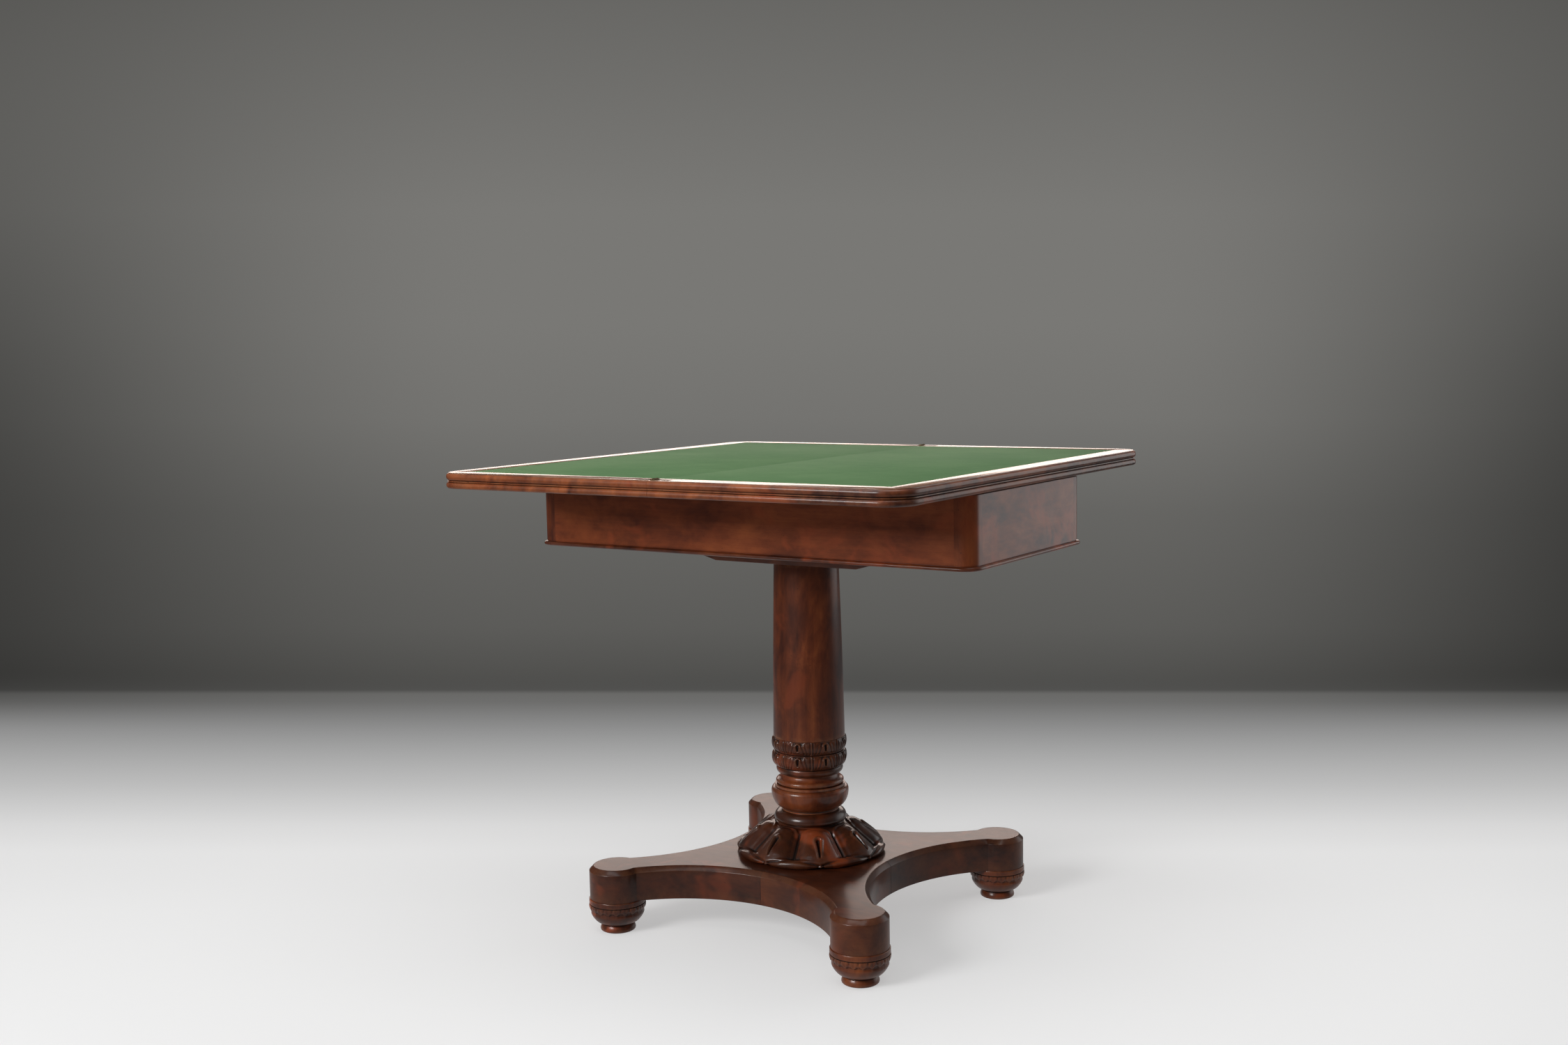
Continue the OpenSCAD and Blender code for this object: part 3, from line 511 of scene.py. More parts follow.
def close_geometry(nodes, geometry, finish):
    """Ends a tree in real geometry that has its finish."""
    smooth = nodes.add("GeometryNodeSetShadeSmooth", {}, {"Geometry": geometry})
    real = nodes.add("GeometryNodeRealizeInstances", {}, {"Geometry": smooth})
    dressed = nodes.add("GeometryNodeSetMaterial", {}, {"Geometry": real, "Material": finish})
    nodes.add("NodeGroupOutput", {}, {0: dressed})


def lathe_tree():
    """Tree that turns a profile round the upright axis, as a lathe does."""
    tree, nodes, given = new_geometry_tree("Turned piece", {
        "Turning radius": ("NodeSocketFloat", 0.01),
        "Segments": ("NodeSocketInt", 128),
        "Finish": ("NodeSocketMaterial", None),
    })
    profile = nodes.add("GeometryNodeMeshToCurve", {}, {"Mesh": given["Geometry"]})
    values = {"Resolution": given["Segments"], "Radius": given["Turning radius"]}
    circle = nodes.add("GeometryNodeCurvePrimitiveCircle", {"mode": "RADIUS"}, values)
    circle = nodes.add("GeometryNodeSetCurveNormal", {"mode": "Z_UP"}, {"Curve": circle})
    values = {"Curve": circle, "Profile Curve": profile}
    swept = nodes.add("GeometryNodeCurveToMesh", {}, values)
    welded = nodes.add("GeometryNodeMergeByDistance", {}, {"Geometry": swept, "Distance": 1e-5})
    close_geometry(nodes, welded, given["Finish"])
    return tree


def bead_tree():
    """Tree that runs a half-round bead along a path, to the right of its direction."""
    tree, nodes, given = new_geometry_tree("Half-round bead", {
        "Bead height": ("NodeSocketFloat", 0.007),
        "Bead depth": ("NodeSocketFloat", 0.005),
        "Steps": ("NodeSocketInt", 22),
        "Finish": ("NodeSocketMaterial", None),
    })
    values = {"Resolution": given["Steps"], "Radius": 1.0, "Start Angle": -math.pi / 2}
    values["Sweep Angle"] = math.pi
    half = nodes.add("GeometryNodeCurveArc", {"mode": "RADIUS"}, values)
    size = nodes.add("ShaderNodeCombineXYZ", {}, {
        0: given["Bead depth"],
        1: given["Bead height"] * 0.5,
        2: 1.0,
    })
    raised = nodes.add("ShaderNodeCombineXYZ", {}, {1: given["Bead height"] * -0.5})
    values = {"Geometry": half, "Translation": raised, "Scale": size}
    section = nodes.add("GeometryNodeTransform", {}, values)
    section = nodes.add("GeometryNodeSetSplineCyclic", {}, {"Geometry": section, "Cyclic": True})
    path = nodes.add("GeometryNodeMeshToCurve", {}, {"Mesh": given["Geometry"]})
    path = nodes.add("GeometryNodeSetCurveNormal", {"mode": "Z_UP"}, {"Curve": path})
    values = {"Curve": path, "Profile Curve": section, "Fill Caps": True}
    swept = nodes.add("GeometryNodeCurveToMesh", {}, values)
    close_geometry(nodes, swept, given["Finish"])
    return tree


def screw_tree(pattern):
    """Tree that sets a copy of the pattern screw at each point, each turned by chance."""
    tree, nodes, given = new_geometry_tree("Screws at points", {
        "Seed": ("NodeSocketInt", 5),
        "Head down": ("NodeSocketFloat", 0.0),
        "Finish": ("NodeSocketMaterial", None),
    })
    shape = nodes.add("GeometryNodeObjectInfo", {}, {"Object": pattern}, output=4)
    values = {2: 0.0, 3: math.pi, "Seed": given["Seed"]}
    chance = nodes.add("FunctionNodeRandomValue", {"data_type": "FLOAT"}, values, output=1)
    turn = nodes.add("ShaderNodeCombineXYZ", {}, {0: given["Head down"] * math.pi, 2: chance})
    values = {"Points": given["Geometry"], "Instance": shape, "Rotation": turn}
    placed = nodes.add("GeometryNodeInstanceOnPoints", {}, values)
    close_geometry(nodes, placed, given["Finish"])
    return tree


def grown(base, tree, values):
    """Runs a geometry tree on a mesh once and returns the plain mesh that it makes."""
    carrier = linked("carrier", base)
    modifier = carrier.modifiers.new("tree", "NODES")
    modifier.node_group = tree
    names = {item.name: item.identifier for item in tree.interface.items_tree}
    for label, value in values.items():
        modifier[names[label]] = value
    graph = bpy.context.evaluated_depsgraph_get()
    made = bpy.data.meshes.new_from_object(carrier.evaluated_get(graph))
    carrier.modifiers.remove(modifier)
    bpy.data.objects.remove(carrier)
    return finished(made)


# Carving and turning


def add_turned(name, line, foot, material, node):
    """Turns a closed profile of radius and height on the column's axis, in place of a CAD node."""
    turning_radius = 10.0
    points = np.column_stack([line[:, 0] - turning_radius, -line[:, 1], np.zeros(len(line))])
    edges = [(i, (i + 1) % len(line)) for i in range(len(line))]
    # The profile's hollows get painted shade and waxy dirt, and its proud edges get wear and painted
    # highlights.
    hollow, worn = line_marks(line)
    base = mesh_of("profile", points, [], (hollow, worn), edges)
    values = {"Turning radius": turning_radius * MM, "Segments": 144, "Finish": material}
    mesh = grown(base, lathe_tree(), values)
    mesh.transform(Matrix.Translation(Vector((0, 0, foot)) * MM))
    add_piece(name, mesh, "stand", "mahogany", material, node)


def carved_mesh(name, line, depth, segments, centre, inner, spread, limits):
    """Turned piece with a carved face: depths below its profile, on rows by columns.

    The spread is how far round and up the even level is taken that hollows and high spots are told by,
    and the limits are the depth and the height at which these marks are full.
    """
    turns = whole_turn(segments)
    across = outward(line)
    placed = line[:, None, :] - depth[:, :, None] * across[:, None, :]
    level = blurred(blurred(depth, spread[0] ** 2 // 2, 1, True), spread[1] ** 2 // 2, 0)
    # Hollows of the carving get painted shade and waxy dirt, and its high spots get wear and painted
    # highlights.
    hollow = np.clip((depth - level) / limits[0], 0, 1)
    worn = np.clip((level - depth) / limits[1], 0, 1)
    along_hollow, along_worn = line_marks(line)
    hollow = np.maximum(hollow, along_hollow[:, None])
    worn = np.maximum(worn, along_worn[:, None] * 0.8)
    foot = np.broadcast_to([inner, line[0, 1]], (1, segments, 2))
    head = np.broadcast_to([inner, line[-1, 1]], (1, segments, 2))
    placed = np.concatenate([foot, placed, head])
    blank = np.zeros((1, segments))
    marks = [np.concatenate([blank, mark, blank]) for mark in (hollow, worn)]
    x = placed[..., 0] * np.cos(turns) + centre[0]
    y = placed[..., 0] * np.sin(turns) + centre[1]
    z = placed[..., 1] + centre[2]
    grid = np.stack([x, y, z], axis=-1)
    return finished(skinned(name, grid, marks, closed=True), 50.0)


def evened(depth):
    """Carving depths with their steps softened."""
    return blurred(blurred(depth, 3, 1, True), 3, 0)


def from_slots(segments, count, first):
    """Signed angle of each column from the nearest of some equally spaced slots, in radians."""
    turns = whole_turn(segments)
    period = 2 * math.pi / count
    return (turns - math.radians(first) + period / 2) % period - period / 2


def drop_shape(side, along, top, bottom, wide, narrow):
    """Distance from the middle of a drop-shaped slot, 1 on its edge."""
    share = np.clip((along - top) / (bottom - top), 0, 1)
    width = wide + (narrow - wide) * share
    past = np.clip(top - along, 0, None) + np.clip(along - bottom, 0, None)
    return np.sqrt(side**2 + past**2) / width


def dome_depths(line, segments, carving):
    """Depth of the dome's carving: hanging leaves, each with a drop-shaped slot, over a rolled lip.

    s is the share of the way down. u is how far a point is from its leaf's middle, 1 between leaves.
    """
    along = distances(line)
    run = along[-1]
    down = (run - along)[:, None]
    s = down / run
    radius = line[:, 0][:, None]
    near = from_slots(segments, carving.leaves, carving.first_slot)[None, :]
    u = np.abs(near) / (math.pi / carving.leaves)
    side = near * radius
    fullness, arch_foot, arch_height = 2.6, 0.26, 0.22
    arch = np.clip((arch_foot - s) / arch_height, 0, None)
    whole = (u**fullness + arch**fullness) ** (1 / fullness)
    lobe = np.clip(1 - whole**2.1, 0, 1)
    border = (1 - whole) * math.pi / carving.leaves * radius
    lowest, scallop = 0.945, 0.125
    edge = lowest - scallop * np.sin(u * math.pi / 2) ** 0.6
    above_lip = 1 - rise(-0.075, -0.01, s - edge)
    leaf, head_share, body_share = carving.leaf_depth / MM, 0.30, 0.70
    growing = head_share * rise(0.0, 0.05, s) + body_share * rise(0.06, 0.30, s)
    depth = leaf * (1 - lobe) * growing * above_lip
    rim, rim_hollow, undercut = 1.3, 0.7, 4.2
    depth -= rim * hump(3.8, 2.2, border) * above_lip
    depth += rim_hollow * hump(9.0, 3.0, border) * above_lip
    depth += undercut * hump(-0.012, 0.020, s - edge) * (0.5 + 0.5 * lobe)
    slot_top, slot_bottom, slot_rim, slot_vein = 0.43 * run, 0.75 * run, 2.8, 1.4
    slot = drop_shape(side, down, slot_top, slot_bottom, 3.9, 1.4)
    fade = 1 - rise(0.77, 0.82, s)
    depth += carving.slot_depth / MM * (1 - rise(0.1, 1.15, slot)) * fade
    depth -= slot_rim * hump(1.6, 0.5, slot) * fade * (1 - rise(0.73, 0.81, s))
    depth -= slot_vein * hump(0.0, 1.3, side + 0.8) * (1 - rise(0.3, 0.8, slot)) * fade
    lip, lip_dip, lip_roll = rise(0.0, 0.025, s - edge), 2.2, 1.3
    depth += lip_dip * (1 - rise(0.10, 0.60, u)) * lip
    depth -= lip_roll * hump(0.05, 0.035, s - edge) * rise(0.15, 0.6, u)
    seat_depth, ball_height, ball_middle, half_wide, half_tall = 2.0, 4.6, 0.925, 3.6, 3.8
    depth += seat_depth * (1 - rise(3.4, 6.4, np.abs(side))) * rise(0.86, 0.90, s)
    ball = np.clip(1 - (side / half_wide) ** 2 - ((s - ball_middle) * run / half_tall) ** 2, 0, 1)
    depth -= ball_height * np.sqrt(ball)
    return evened(depth)


def tier_depths(t, line, segments, carving):
    """Depth of the carving of one tier of upright leaves, from t 0 at its tips to 1 at its foot.

    u is how far a point is from its leaf's middle, 1 between leaves.
    """
    radius = line[:, 0][:, None]
    near = from_slots(segments, carving.leaves, carving.first_collar_slot)[None, :]
    u = np.abs(near) / (math.pi / carving.leaves)
    side = near * radius
    tall, slot_depth, slot_rim, quirk, ridge, tip_drop, tip_notch = 23.0, 3.4, 1.3, 2.2, 1.2, 2.4, 1.0
    inside = (t > 0) & (t < 1)
    t = np.clip(t, 0, 1)
    down = t * tall
    apart = (math.pi / carving.leaves - np.abs(near)) * radius
    slot = drop_shape(side, down, 0.30 * tall, 0.62 * tall, 2.7, 1.5)
    foot = 1 - rise(0.86, 0.97, t)
    depth = slot_depth * (1 - rise(0.3, 1.05, slot))
    depth -= slot_rim * hump(1.55, 0.42, slot) * foot
    for start, slope, vein in ((0.26, 0.26, 1.5), (0.50, 0.24, 1.4)):
        depth = depth + vein * hump(start + slope * t**1.3, 0.045, u) * foot * rise(0.05, 0.2, t)
    depth = depth + quirk * hump(2.1, 0.75, apart) * foot
    depth = depth - ridge * hump(0.0, 1.1, apart)
    depth = depth + tip_drop * (1 - rise(0.02, 0.34, t)) * hump(0.22, 0.26, u)
    depth = depth + tip_notch * (1 - rise(0.03, 0.2, t)) * hump(0.72, 0.12, u)
    return evened(depth) * inside * rise(0.0, 0.03, t) * (1 - rise(0.95, 1.0, t))


def foot_depths(line, segments, carving):
    """Depth of the ring of small hanging leaves round the bowl of a foot.

    t is the share of a leaf's length, from its top down, and u how far a point is from its middle.
    """
    z = line[:, 1][:, None]
    near = from_slots(segments, carving.foot_leaves, 0.0)[None, :]
    u = np.abs(near) / (math.pi / carving.foot_leaves)
    leaf_top, leaf_length = 45.0, 10.5
    t = (leaf_top - z) / leaf_length
    ring = rise(-0.02, 0.06, t)
    ground_depth, vein_depth, bud_height, bud_place = 2.6, 0.9, 1.7, 0.62
    width = np.sqrt(np.clip(1 - np.clip(t, 0, 1) ** 2.2, 0, 1)) * 0.90
    inside = 1 - rise(-0.06, 0.10, u - width)
    depth = ground_depth * (1 - inside) * ring * (1 - rise(1.0, 1.6, t))
    depth += vein_depth * hump(0.0, 0.13, u) * inside * ring * (1 - rise(0.7, 1.0, t))
    bud = np.clip(1 - ((1 - u) / 0.30) ** 2 - ((t - bud_place) / 0.34) ** 2, 0, 1)
    depth -= bud_height * np.sqrt(bud)
    return evened(depth)


# The pieces, whose profiles list radius and height in millimetres from the foot up


CORNER_STEPS = 26


def leaf_stations(seam, reach, half, corner):
    """Points round a leaf, on its outline, with their outward directions, from seam to seam."""
    points = [(seam, -half)]
    ways = [(0.0, -1.0)]
    for sign, start in ((-1, -90.0), (1, 0.0)):
        turn = np.radians(np.linspace(start, start + 90.0, CORNER_STEPS + 1))
        for way in np.column_stack([np.cos(turn), np.sin(turn)]):
            points.append((reach - corner + corner * way[0], sign * (half - corner) + corner * way[1]))
            ways.append(tuple(way))
    points.append((seam, half))
    ways.append((0.0, 1.0))
    return np.array(points), np.array(ways)


def edge_section(top):
    """Section of a leaf's edge from its underside up: two beads with a fillet between two quirks."""
    nose = top.bead_nose / MM
    x = top.edge_depth / MM - nose
    low = top.lower_bead / MM
    fillet = low + top.quirk / MM
    upper = fillet + top.fillet / MM + top.quirk / MM
    thick = top.board / MM
    rest = (thick - upper) / 2
    lower_bead = arc(x, low / 2, nose, low / 2, -90, 90, 20)
    face, end, arris = x + nose / 2, fillet + top.fillet / MM, 0.25
    middle = [(x, fillet), (face - arris, fillet), (face, fillet + arris)]
    middle += [(face, end - arris), (face - arris, end), (x, end)]
    upper_bead = arc(x, upper + rest, nose, rest, -90, 90, 22)
    return np.vstack([lower_bead, middle, upper_bead])


LEAVES = (("right", "lower_top", "lower"), ("left", "upper_top", "upper"))
ACROSS_SEAM = Matrix.Diagonal((-1.0, 1.0, 1.0, 1.0))
HINGE_SLACK = 0.1


def leaf_mesh(top, mirrored):
    """Moulded board of one leaf, with room for its hinges."""
    low, high = node_box("lower_leaf_board")
    points, ways = leaf_stations(low[0], high[0], high[1], top.corner / MM)
    section = edge_section(top)
    rings = []
    for x, z in section:
        ring = points - ways * (top.edge_depth / MM - x)
        rings.append(np.column_stack([ring, np.full(len(ring), low[2] + z)]))
    # The edge's quirks get painted shade and waxy dirt, and its beads get wear and painted highlights,
    # from their hollow and worn marks.
    marks = [np.repeat(mark[:, None], len(points), axis=1) for mark in line_marks(section, 0.5)]
    mesh = finished(skinned("leaf", np.array(rings), marks, capped=True))
    plate_high = node_box("lower_hinge_plates")[1]
    wide = top.hinge_width / MM / 2 + HINGE_SLACK
    outside, above, reach = low[0] - 3, high[2] + 5, plate_high[0] + HINGE_SLACK
    floor, knuckle_reach = high[2] - 0.7, 2.3
    knuckle_floor = floor - 0.6
    section = [(outside, knuckle_floor), (knuckle_reach, knuckle_floor), (knuckle_reach, floor)]
    section += [(reach, floor), (reach, above), (outside, above)]
    for sign in (-1, 1):
        middle = sign * (high[1] - top.hinge_inset / MM)
        rows = [[(x, y, z) for x, z in section] for y in (middle - wide, middle + wide)]
        mesh = cut(mesh, finished(skinned("hinge room", np.array(rows), capped=True)))
    if mirrored:
        mesh.transform(ACROSS_SEAM)
    return finished(mesh)


def banding_outlines(top):
    """Outlines of the three mitred strips round the cloth of the leaf on the right."""
    low, high = node_box("lower_leaf_board")
    nose = top.bead_nose / MM
    points = leaf_stations(low[0], high[0] - nose, high[1] - nose, top.corner / MM - nose)[0]
    inner_x = high[0] - top.banding_width / MM
    inner_y = high[1] - top.banding_width / MM
    gap = 0.05
    wide = top.hinge_width / MM / 2 + HINGE_SLACK
    hinge_y = high[1] - top.hinge_inset / MM
    reach = node_box("lower_hinge_plates")[1][0] + HINGE_SLACK
    half = len(points) // 2
    corner_middle = 1 + CORNER_STEPS // 2
    front = points[: corner_middle + 1]
    mitre = np.array([(inner_x, -inner_y)])
    notch = np.array([
        (low[0], -inner_y),
        (low[0], -hinge_y + wide),
        (reach, -hinge_y + wide),
        (reach, -hinge_y - wide),
        (low[0], -hinge_y - wide),
    ])
    front = np.vstack([notch, front, mitre]) - [gap, 0]
    front[:, 0] = np.maximum(front[:, 0], low[0])
    side_low = points[corner_middle:half]
    side = np.vstack([side_low, side_low[::-1] * [1, -1], mitre * [1, -1], mitre]) + [gap, 0]
    return [front, side, front[::-1] * [1, -1]]


def joined(meshes, name):
    """One mesh from several."""
    shape = bmesh.new()
    for mesh in meshes:
        shape.from_mesh(mesh)
    made = bpy.data.meshes.new(name)
    shape.to_mesh(made)
    shape.free()
    made.shade_smooth()
    return made


def mirrored_mesh(mesh):
    """Mirror image of a mesh across the seam, with its faces still outwards."""
    made = mesh.copy()
    made.transform(ACROSS_SEAM)
    return finished(made)


def build_leaf_boards(top, finish):
    for side, body, node in LEAVES:
        name = f"{side}_leaf_board"
        mirrored = side == "left"
        shift = (0.7, 0.2, 0.1) if mirrored else (0, 0, 0)
        # Darker tones with weaker red patches, as painted shade on the moulded leaves.
        material = wood(name + " mahogany", "Y", tones_of(finish, 0.75, 0.7), shift=shift, figure=1.25)
        add_piece(name, leaf_mesh(top, mirrored), body, "mahogany", material, f"{node}_leaf_board")


def build_bandings(top, finish):
    low, high = node_box("lower_leaf_banding")
    outlines = banding_outlines(top)
    # The banding takes paler, less red tones than the mahogany: a lighter crossbanding, and partly
    # painted sheen of the polished border.
    tones = dict(tones_of(finish), light=finish.banding, mid=finish.banding_dark, glow=finish.banding)
    across = wood("banding along Y", "Y", tones, polish=1.9, figure=0.8)
    along = wood("banding along X", "X", tones, polish=1.9, figure=0.8)
    for side, body, node in LEAVES:
        strips = [prism("strip", outline, low[2], high[2], 0.2) for outline in outlines]
        if side == "left":
            strips = [mirrored_mesh(strip) for strip in strips]
        named = f"{side}_banding_ends"
        ends = joined([strips[0], strips[2]], named)
        replaced = f"{node}_leaf_banding"
        add_piece(named, ends, body, "banding", along, replaced)
        add_piece(f"{side}_banding_side", strips[1], body, "banding", across, replaced)


def build_cloths(finish):
    material = baize_material("baize", finish)
    for side, body, node in LEAVES:
        low, high = node_box(f"{node}_leaf_cloth")
        outline = [(low[0], low[1]), (high[0], low[1]), (high[0], high[1]), (low[0], high[1])]
        mesh = prism("cloth", outline, low[2], high[2], 0.3)
        replaced = f"{node}_leaf_cloth"
        piece = add_piece(f"{side}_baize", mesh, body, "baize", material, replaced)


def screw_pattern(radius, length):
    """Slotted wood screw with a countersunk head, its head up at the origin."""
    line = np.array([
        (0, -length),
        (radius * 0.5, -length + radius),
        (radius, -length + 2 * radius),
        (radius, -radius),
        (2 * radius - 0.06, -0.12),
        (2 * radius - 0.1, -0.02),
        (radius, 0.0),
        (0, 0.0),
    ])
    turns = whole_turn(28)
    x = line[:, :1] * np.cos(turns)
    y = line[:, :1] * np.sin(turns)
    z = np.broadcast_to(line[:, 1:], x.shape)
    mesh = finished(skinned("screw", np.stack([x, y, z], axis=-1)), weld=1e-7)
    wide = radius * 0.18
    slot = box_mesh("slot", (-3 * radius, -wide, -radius * 0.55), (3 * radius, wide, 1))
    pattern = linked("screw pattern", finished(cut(mesh, slot), weld=1e-8))
    pattern.hide_render = True
    return pattern


def add_screws(name, spots, radius, length, down, body, slot, material, node):
    """Group of like screws, set at points by a geometry tree."""
    pattern = screw_pattern(radius, length)
    base = mesh_of("spots", spots, [])
    values = {"Seed": 5, "Head down": 1.0 if down else 0.0, "Finish": material}
    mesh = grown(base, screw_tree(pattern), values)
    bpy.data.objects.remove(pattern)
    add_piece(name, mesh, body, slot, material, node)


def build_hinges(top, finish):
    brass = metal_material("aged brass", finish.brass, (0.10, 0.065, 0.03, 1), 0.34)
    half = node_box("lower_leaf_board")[1][1] - top.hinge_inset / MM
    sunk = 0.05
    surface = node_box("lower_leaf_banding")[1][2] - sunk
    for side, body, sign in (("lower", "lower_top", 1), ("upper", "upper_top", -1)):
        plates = f"{side}_hinge_plates"
        mesh = arrised_copy(plates, plates, 0.12)
        add_piece(f"{side}_butt_hinges", mesh, body, "brass", brass, plates)
        first = top.hinge_screw / MM
        spots = [
            (sign * x, y, surface)
            for x in (first, first + top.hinge_screw_pitch / MM)
            for y in (-half, half)
        ]
        name = f"{side}_hinge_screw_set"
        nodes = f"{side}_hinge_screws"
        add_screws(name, spots, 1.2, 11.0, False, body, "brass", brass, nodes)
    dress_node("hinge_pins", brass)


def build_pivot(top, finish):
    iron = metal_material("dark iron", finish.iron, (0.05, 0.04, 0.035, 1), 0.42)
    for node in ("pivot_plate", "stop_pin", "pivot_washer", "pivot_nut"):
        mesh = arrised_copy(node, node, 0.3)
        add_piece(f"{node}_finished", mesh, "lower_top", "iron", iron, node)
    low, high = node_box("pivot_plate")
    middle = (low + high) / 2
    turns = np.radians([0, 90, 180, 270])
    level = node_box("pivot_plate_screws")[0][2]
    reach = top.plate_screw_circle / MM
    spots = [(middle[0] + reach * math.cos(a), middle[1] + reach * math.sin(a), level) for a in turns]
    node = "pivot_plate_screws"
    add_screws("pivot_plate_screw_set", spots, 2.0, 18.0, True, "lower_top", "iron", iron, node)
    low, high = node_box("bearer_screws")
    head = 5
    xs, ys = (low[0] + head, high[0] - head), (low[1] + head, high[1] - head)
    spots = [(x, y, low[2]) for x in xs for y in ys]
    add_screws("bearer_screw_set", spots, 2.5, 50.0, True, "stand", "iron", iron, "bearer_screws")
    brass = metal_material("worn brass", finish.brass, (0.12, 0.08, 0.04, 1), 0.3)
    dress_node("wear_washer", brass)


def dress_node(node, material):
    """Gives a CAD node that stays its finish."""
    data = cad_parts[node].data
    data.materials.clear()
    data.materials.append(material)


def build_frieze(finish):
    # Lighter tones on the rails along X, and a little less on the corner posts, as painted light on the
    # frieze.
    along = wood("frieze mahogany along X", "X", tones_of(finish, 1.30, 1.2), polish=1.1, figure=0.6)
    across = wood("frieze mahogany along Y", "Y", tones_of(finish, 1.0), polish=1.1)
    upright = wood("post mahogany", "Z", tones_of(finish, 1.1), polish=1.1, figure=0.7)
    for node in ("frieze_front", "frieze_back"):
        dress_node(node, along)
    for node in ("frieze_left", "frieze_right"):
        dress_node(node, across)
    for corner in CORNERS:
        node = f"post_{corner}"
        mesh = arrised_copy(node, node, 0.0)
        add_piece(f"corner_post_{corner}", mesh, "stand", "mahogany", upright, node)


def bead_path(runs):
    """Mesh of open paths, each a list of points."""
    points, edges = [], []
    for run in runs:
        start = len(points)
        points += [tuple(p) for p in run]
        edges += [(i, i + 1) for i in range(start, start + len(run) - 1)]
    return mesh_of("path", points, [], edges=edges)


def build_beads(frieze, finish):
    low, high = node_box("bead_front")
    z = low[2]
    y = node_box("frieze_front")[0][1]
    side_low, side_high = node_box("bead_right")
    x = side_low[0]
    joints = [low[0], frieze.left_joint / MM, frieze.right_joint / MM, high[0]]
    gap = 0.12
    front = [[(a + gap, y, z), (b - gap, y, z)] for a, b in zip(joints, joints[1:])]
    back = [[(high[0], -y, z), (low[0], -y, z)]]
    side_y = side_high[1]
    sides = [[(x, -side_y, z), (x, side_y, z)], [(-x, side_y, z), (-x, -side_y, z)]]
    radius = -y - side_y - gap
    corners = []
    for start, (sx, sy) in zip(CORNER_TURNS, CORNERS.values()):
        centre_x, centre_y, turning = sx * (x - radius - gap), sy * side_y, radius + gap
        turn = arc(centre_x, centre_y, turning, turning, start, start + 90, 24)
        corners.append([(px, py, z) for px, py in turn])
    tree = bead_tree()
    for name, runs, grain, nodes in (
        ("frieze_bead_long", front + back, "X", ("bead_front", "bead_back")),
        ("frieze_bead_short", sides, "Y", ("bead_left", "bead_right")),
        ("frieze_bead_corners", corners, "X", ("bead_corners",)),
    ):
        # Darker tones, as painted shade on the bead.
        material = wood(name + " mahogany", grain, tones_of(finish, 0.6), polish=1.2)
        values = {
            "Bead height": (high[2] - low[2]) * MM,
            "Bead depth": (side_high[0] - side_low[0]) * MM,
            "Finish": material,
        }
        mesh = grown(bead_path(runs), tree, values)
        add_piece(name, mesh, "stand", "mahogany", material, *nodes)


def build_well(finish):
    pale = dict.fromkeys(("mid", "light", "worn", "glow"), finish.pale_wood)
    pale.update(dict.fromkeys(("dark", "pore", "wax_and_shade"), finish.pale_wood_dark))
    board_wood = wood("well board wood", "X", pale, polish=0.1)
    rail_wood = wood("pivot rail wood", "Y", pale, polish=0.1)
    glide_wood = wood("glide strip wood", "X", dict(tones_of(finish), light=finish.mahogany_mid))
    for name, node, material, slot in (
        ("well_floor_middle", "well_middle_board", board_wood, "secondary_wood"),
        ("well_floor_left", "well_left_board", board_wood, "secondary_wood"),
        ("well_floor_right", "well_right_board", board_wood, "secondary_wood"),
        ("corner_glue_blocks", "glue_blocks", board_wood, "secondary_wood"),
        ("pivot_cross_rail", "pivot_rail", rail_wood, "secondary_wood"),
        ("leaf_glide_strips", "glide_strips", glide_wood, "glide_wood"),
    ):
        add_piece(name, arrised_copy(name, node, 0.4), "stand", slot, material, node)
    dress_node("platform_splines", board_wood)
    dress_node("tenon_wedges", board_wood)


def build_bearer(finish):
    # Darker tones, as painted shade on the bearer.
    material = wood("bearer mahogany", "X", tones_of(finish, 0.7, 0.7), shift=(0.3, 0.1, 0.4))
    mesh = arrised_copy("bearer", "bearer_block", 0.9)
    add_piece("bearer_bevelled", mesh, "stand", "mahogany", material, "bearer_block")


def build_shaft(column, finish):
    low, high = node_box("column_shaft")
    foot, top = node_box("carved_collar")[1][2], node_box("bearer_block")[0][2]
    foot_r, top_r = column.foot_diameter / MM / 2, column.top_diameter / MM / 2
    tenon_r, pin_r = column.top_tenon / MM / 2, column.foot_tenon / MM / 2
    heights = np.linspace(foot + 0.6, top - 0.6, 40)
    share = (heights - foot) / (top - foot)
    swell = 0.5 * np.sin(math.pi * share)
    side = np.column_stack([foot_r + (top_r - foot_r) * share + swell, heights])
    line = np.vstack([
        [(0, low[2] + 0.3), (pin_r, low[2] + 0.3), (pin_r, foot), (foot_r - 0.5, foot)],
        side,
        [(top_r - 0.5, top), (tenon_r, top), (tenon_r, high[2] - 0.3), (0, high[2] - 0.3)],
    ])
    # Darker tones with weak red patches, as painted shade on the shaft.
    material = wood("shaft mahogany", "Z", tones_of(finish, 0.68, 0.5), polish=0.9, figure=0.9)
    add_turned("column_shaft_turned", line, 0, material, "column_shaft")


def bored(line, bore):
    """Profile of a ring with its bore, from its foot up and back down."""
    return np.vstack([[(bore, line[0][1])], line, [(bore, line[-1][1])]])


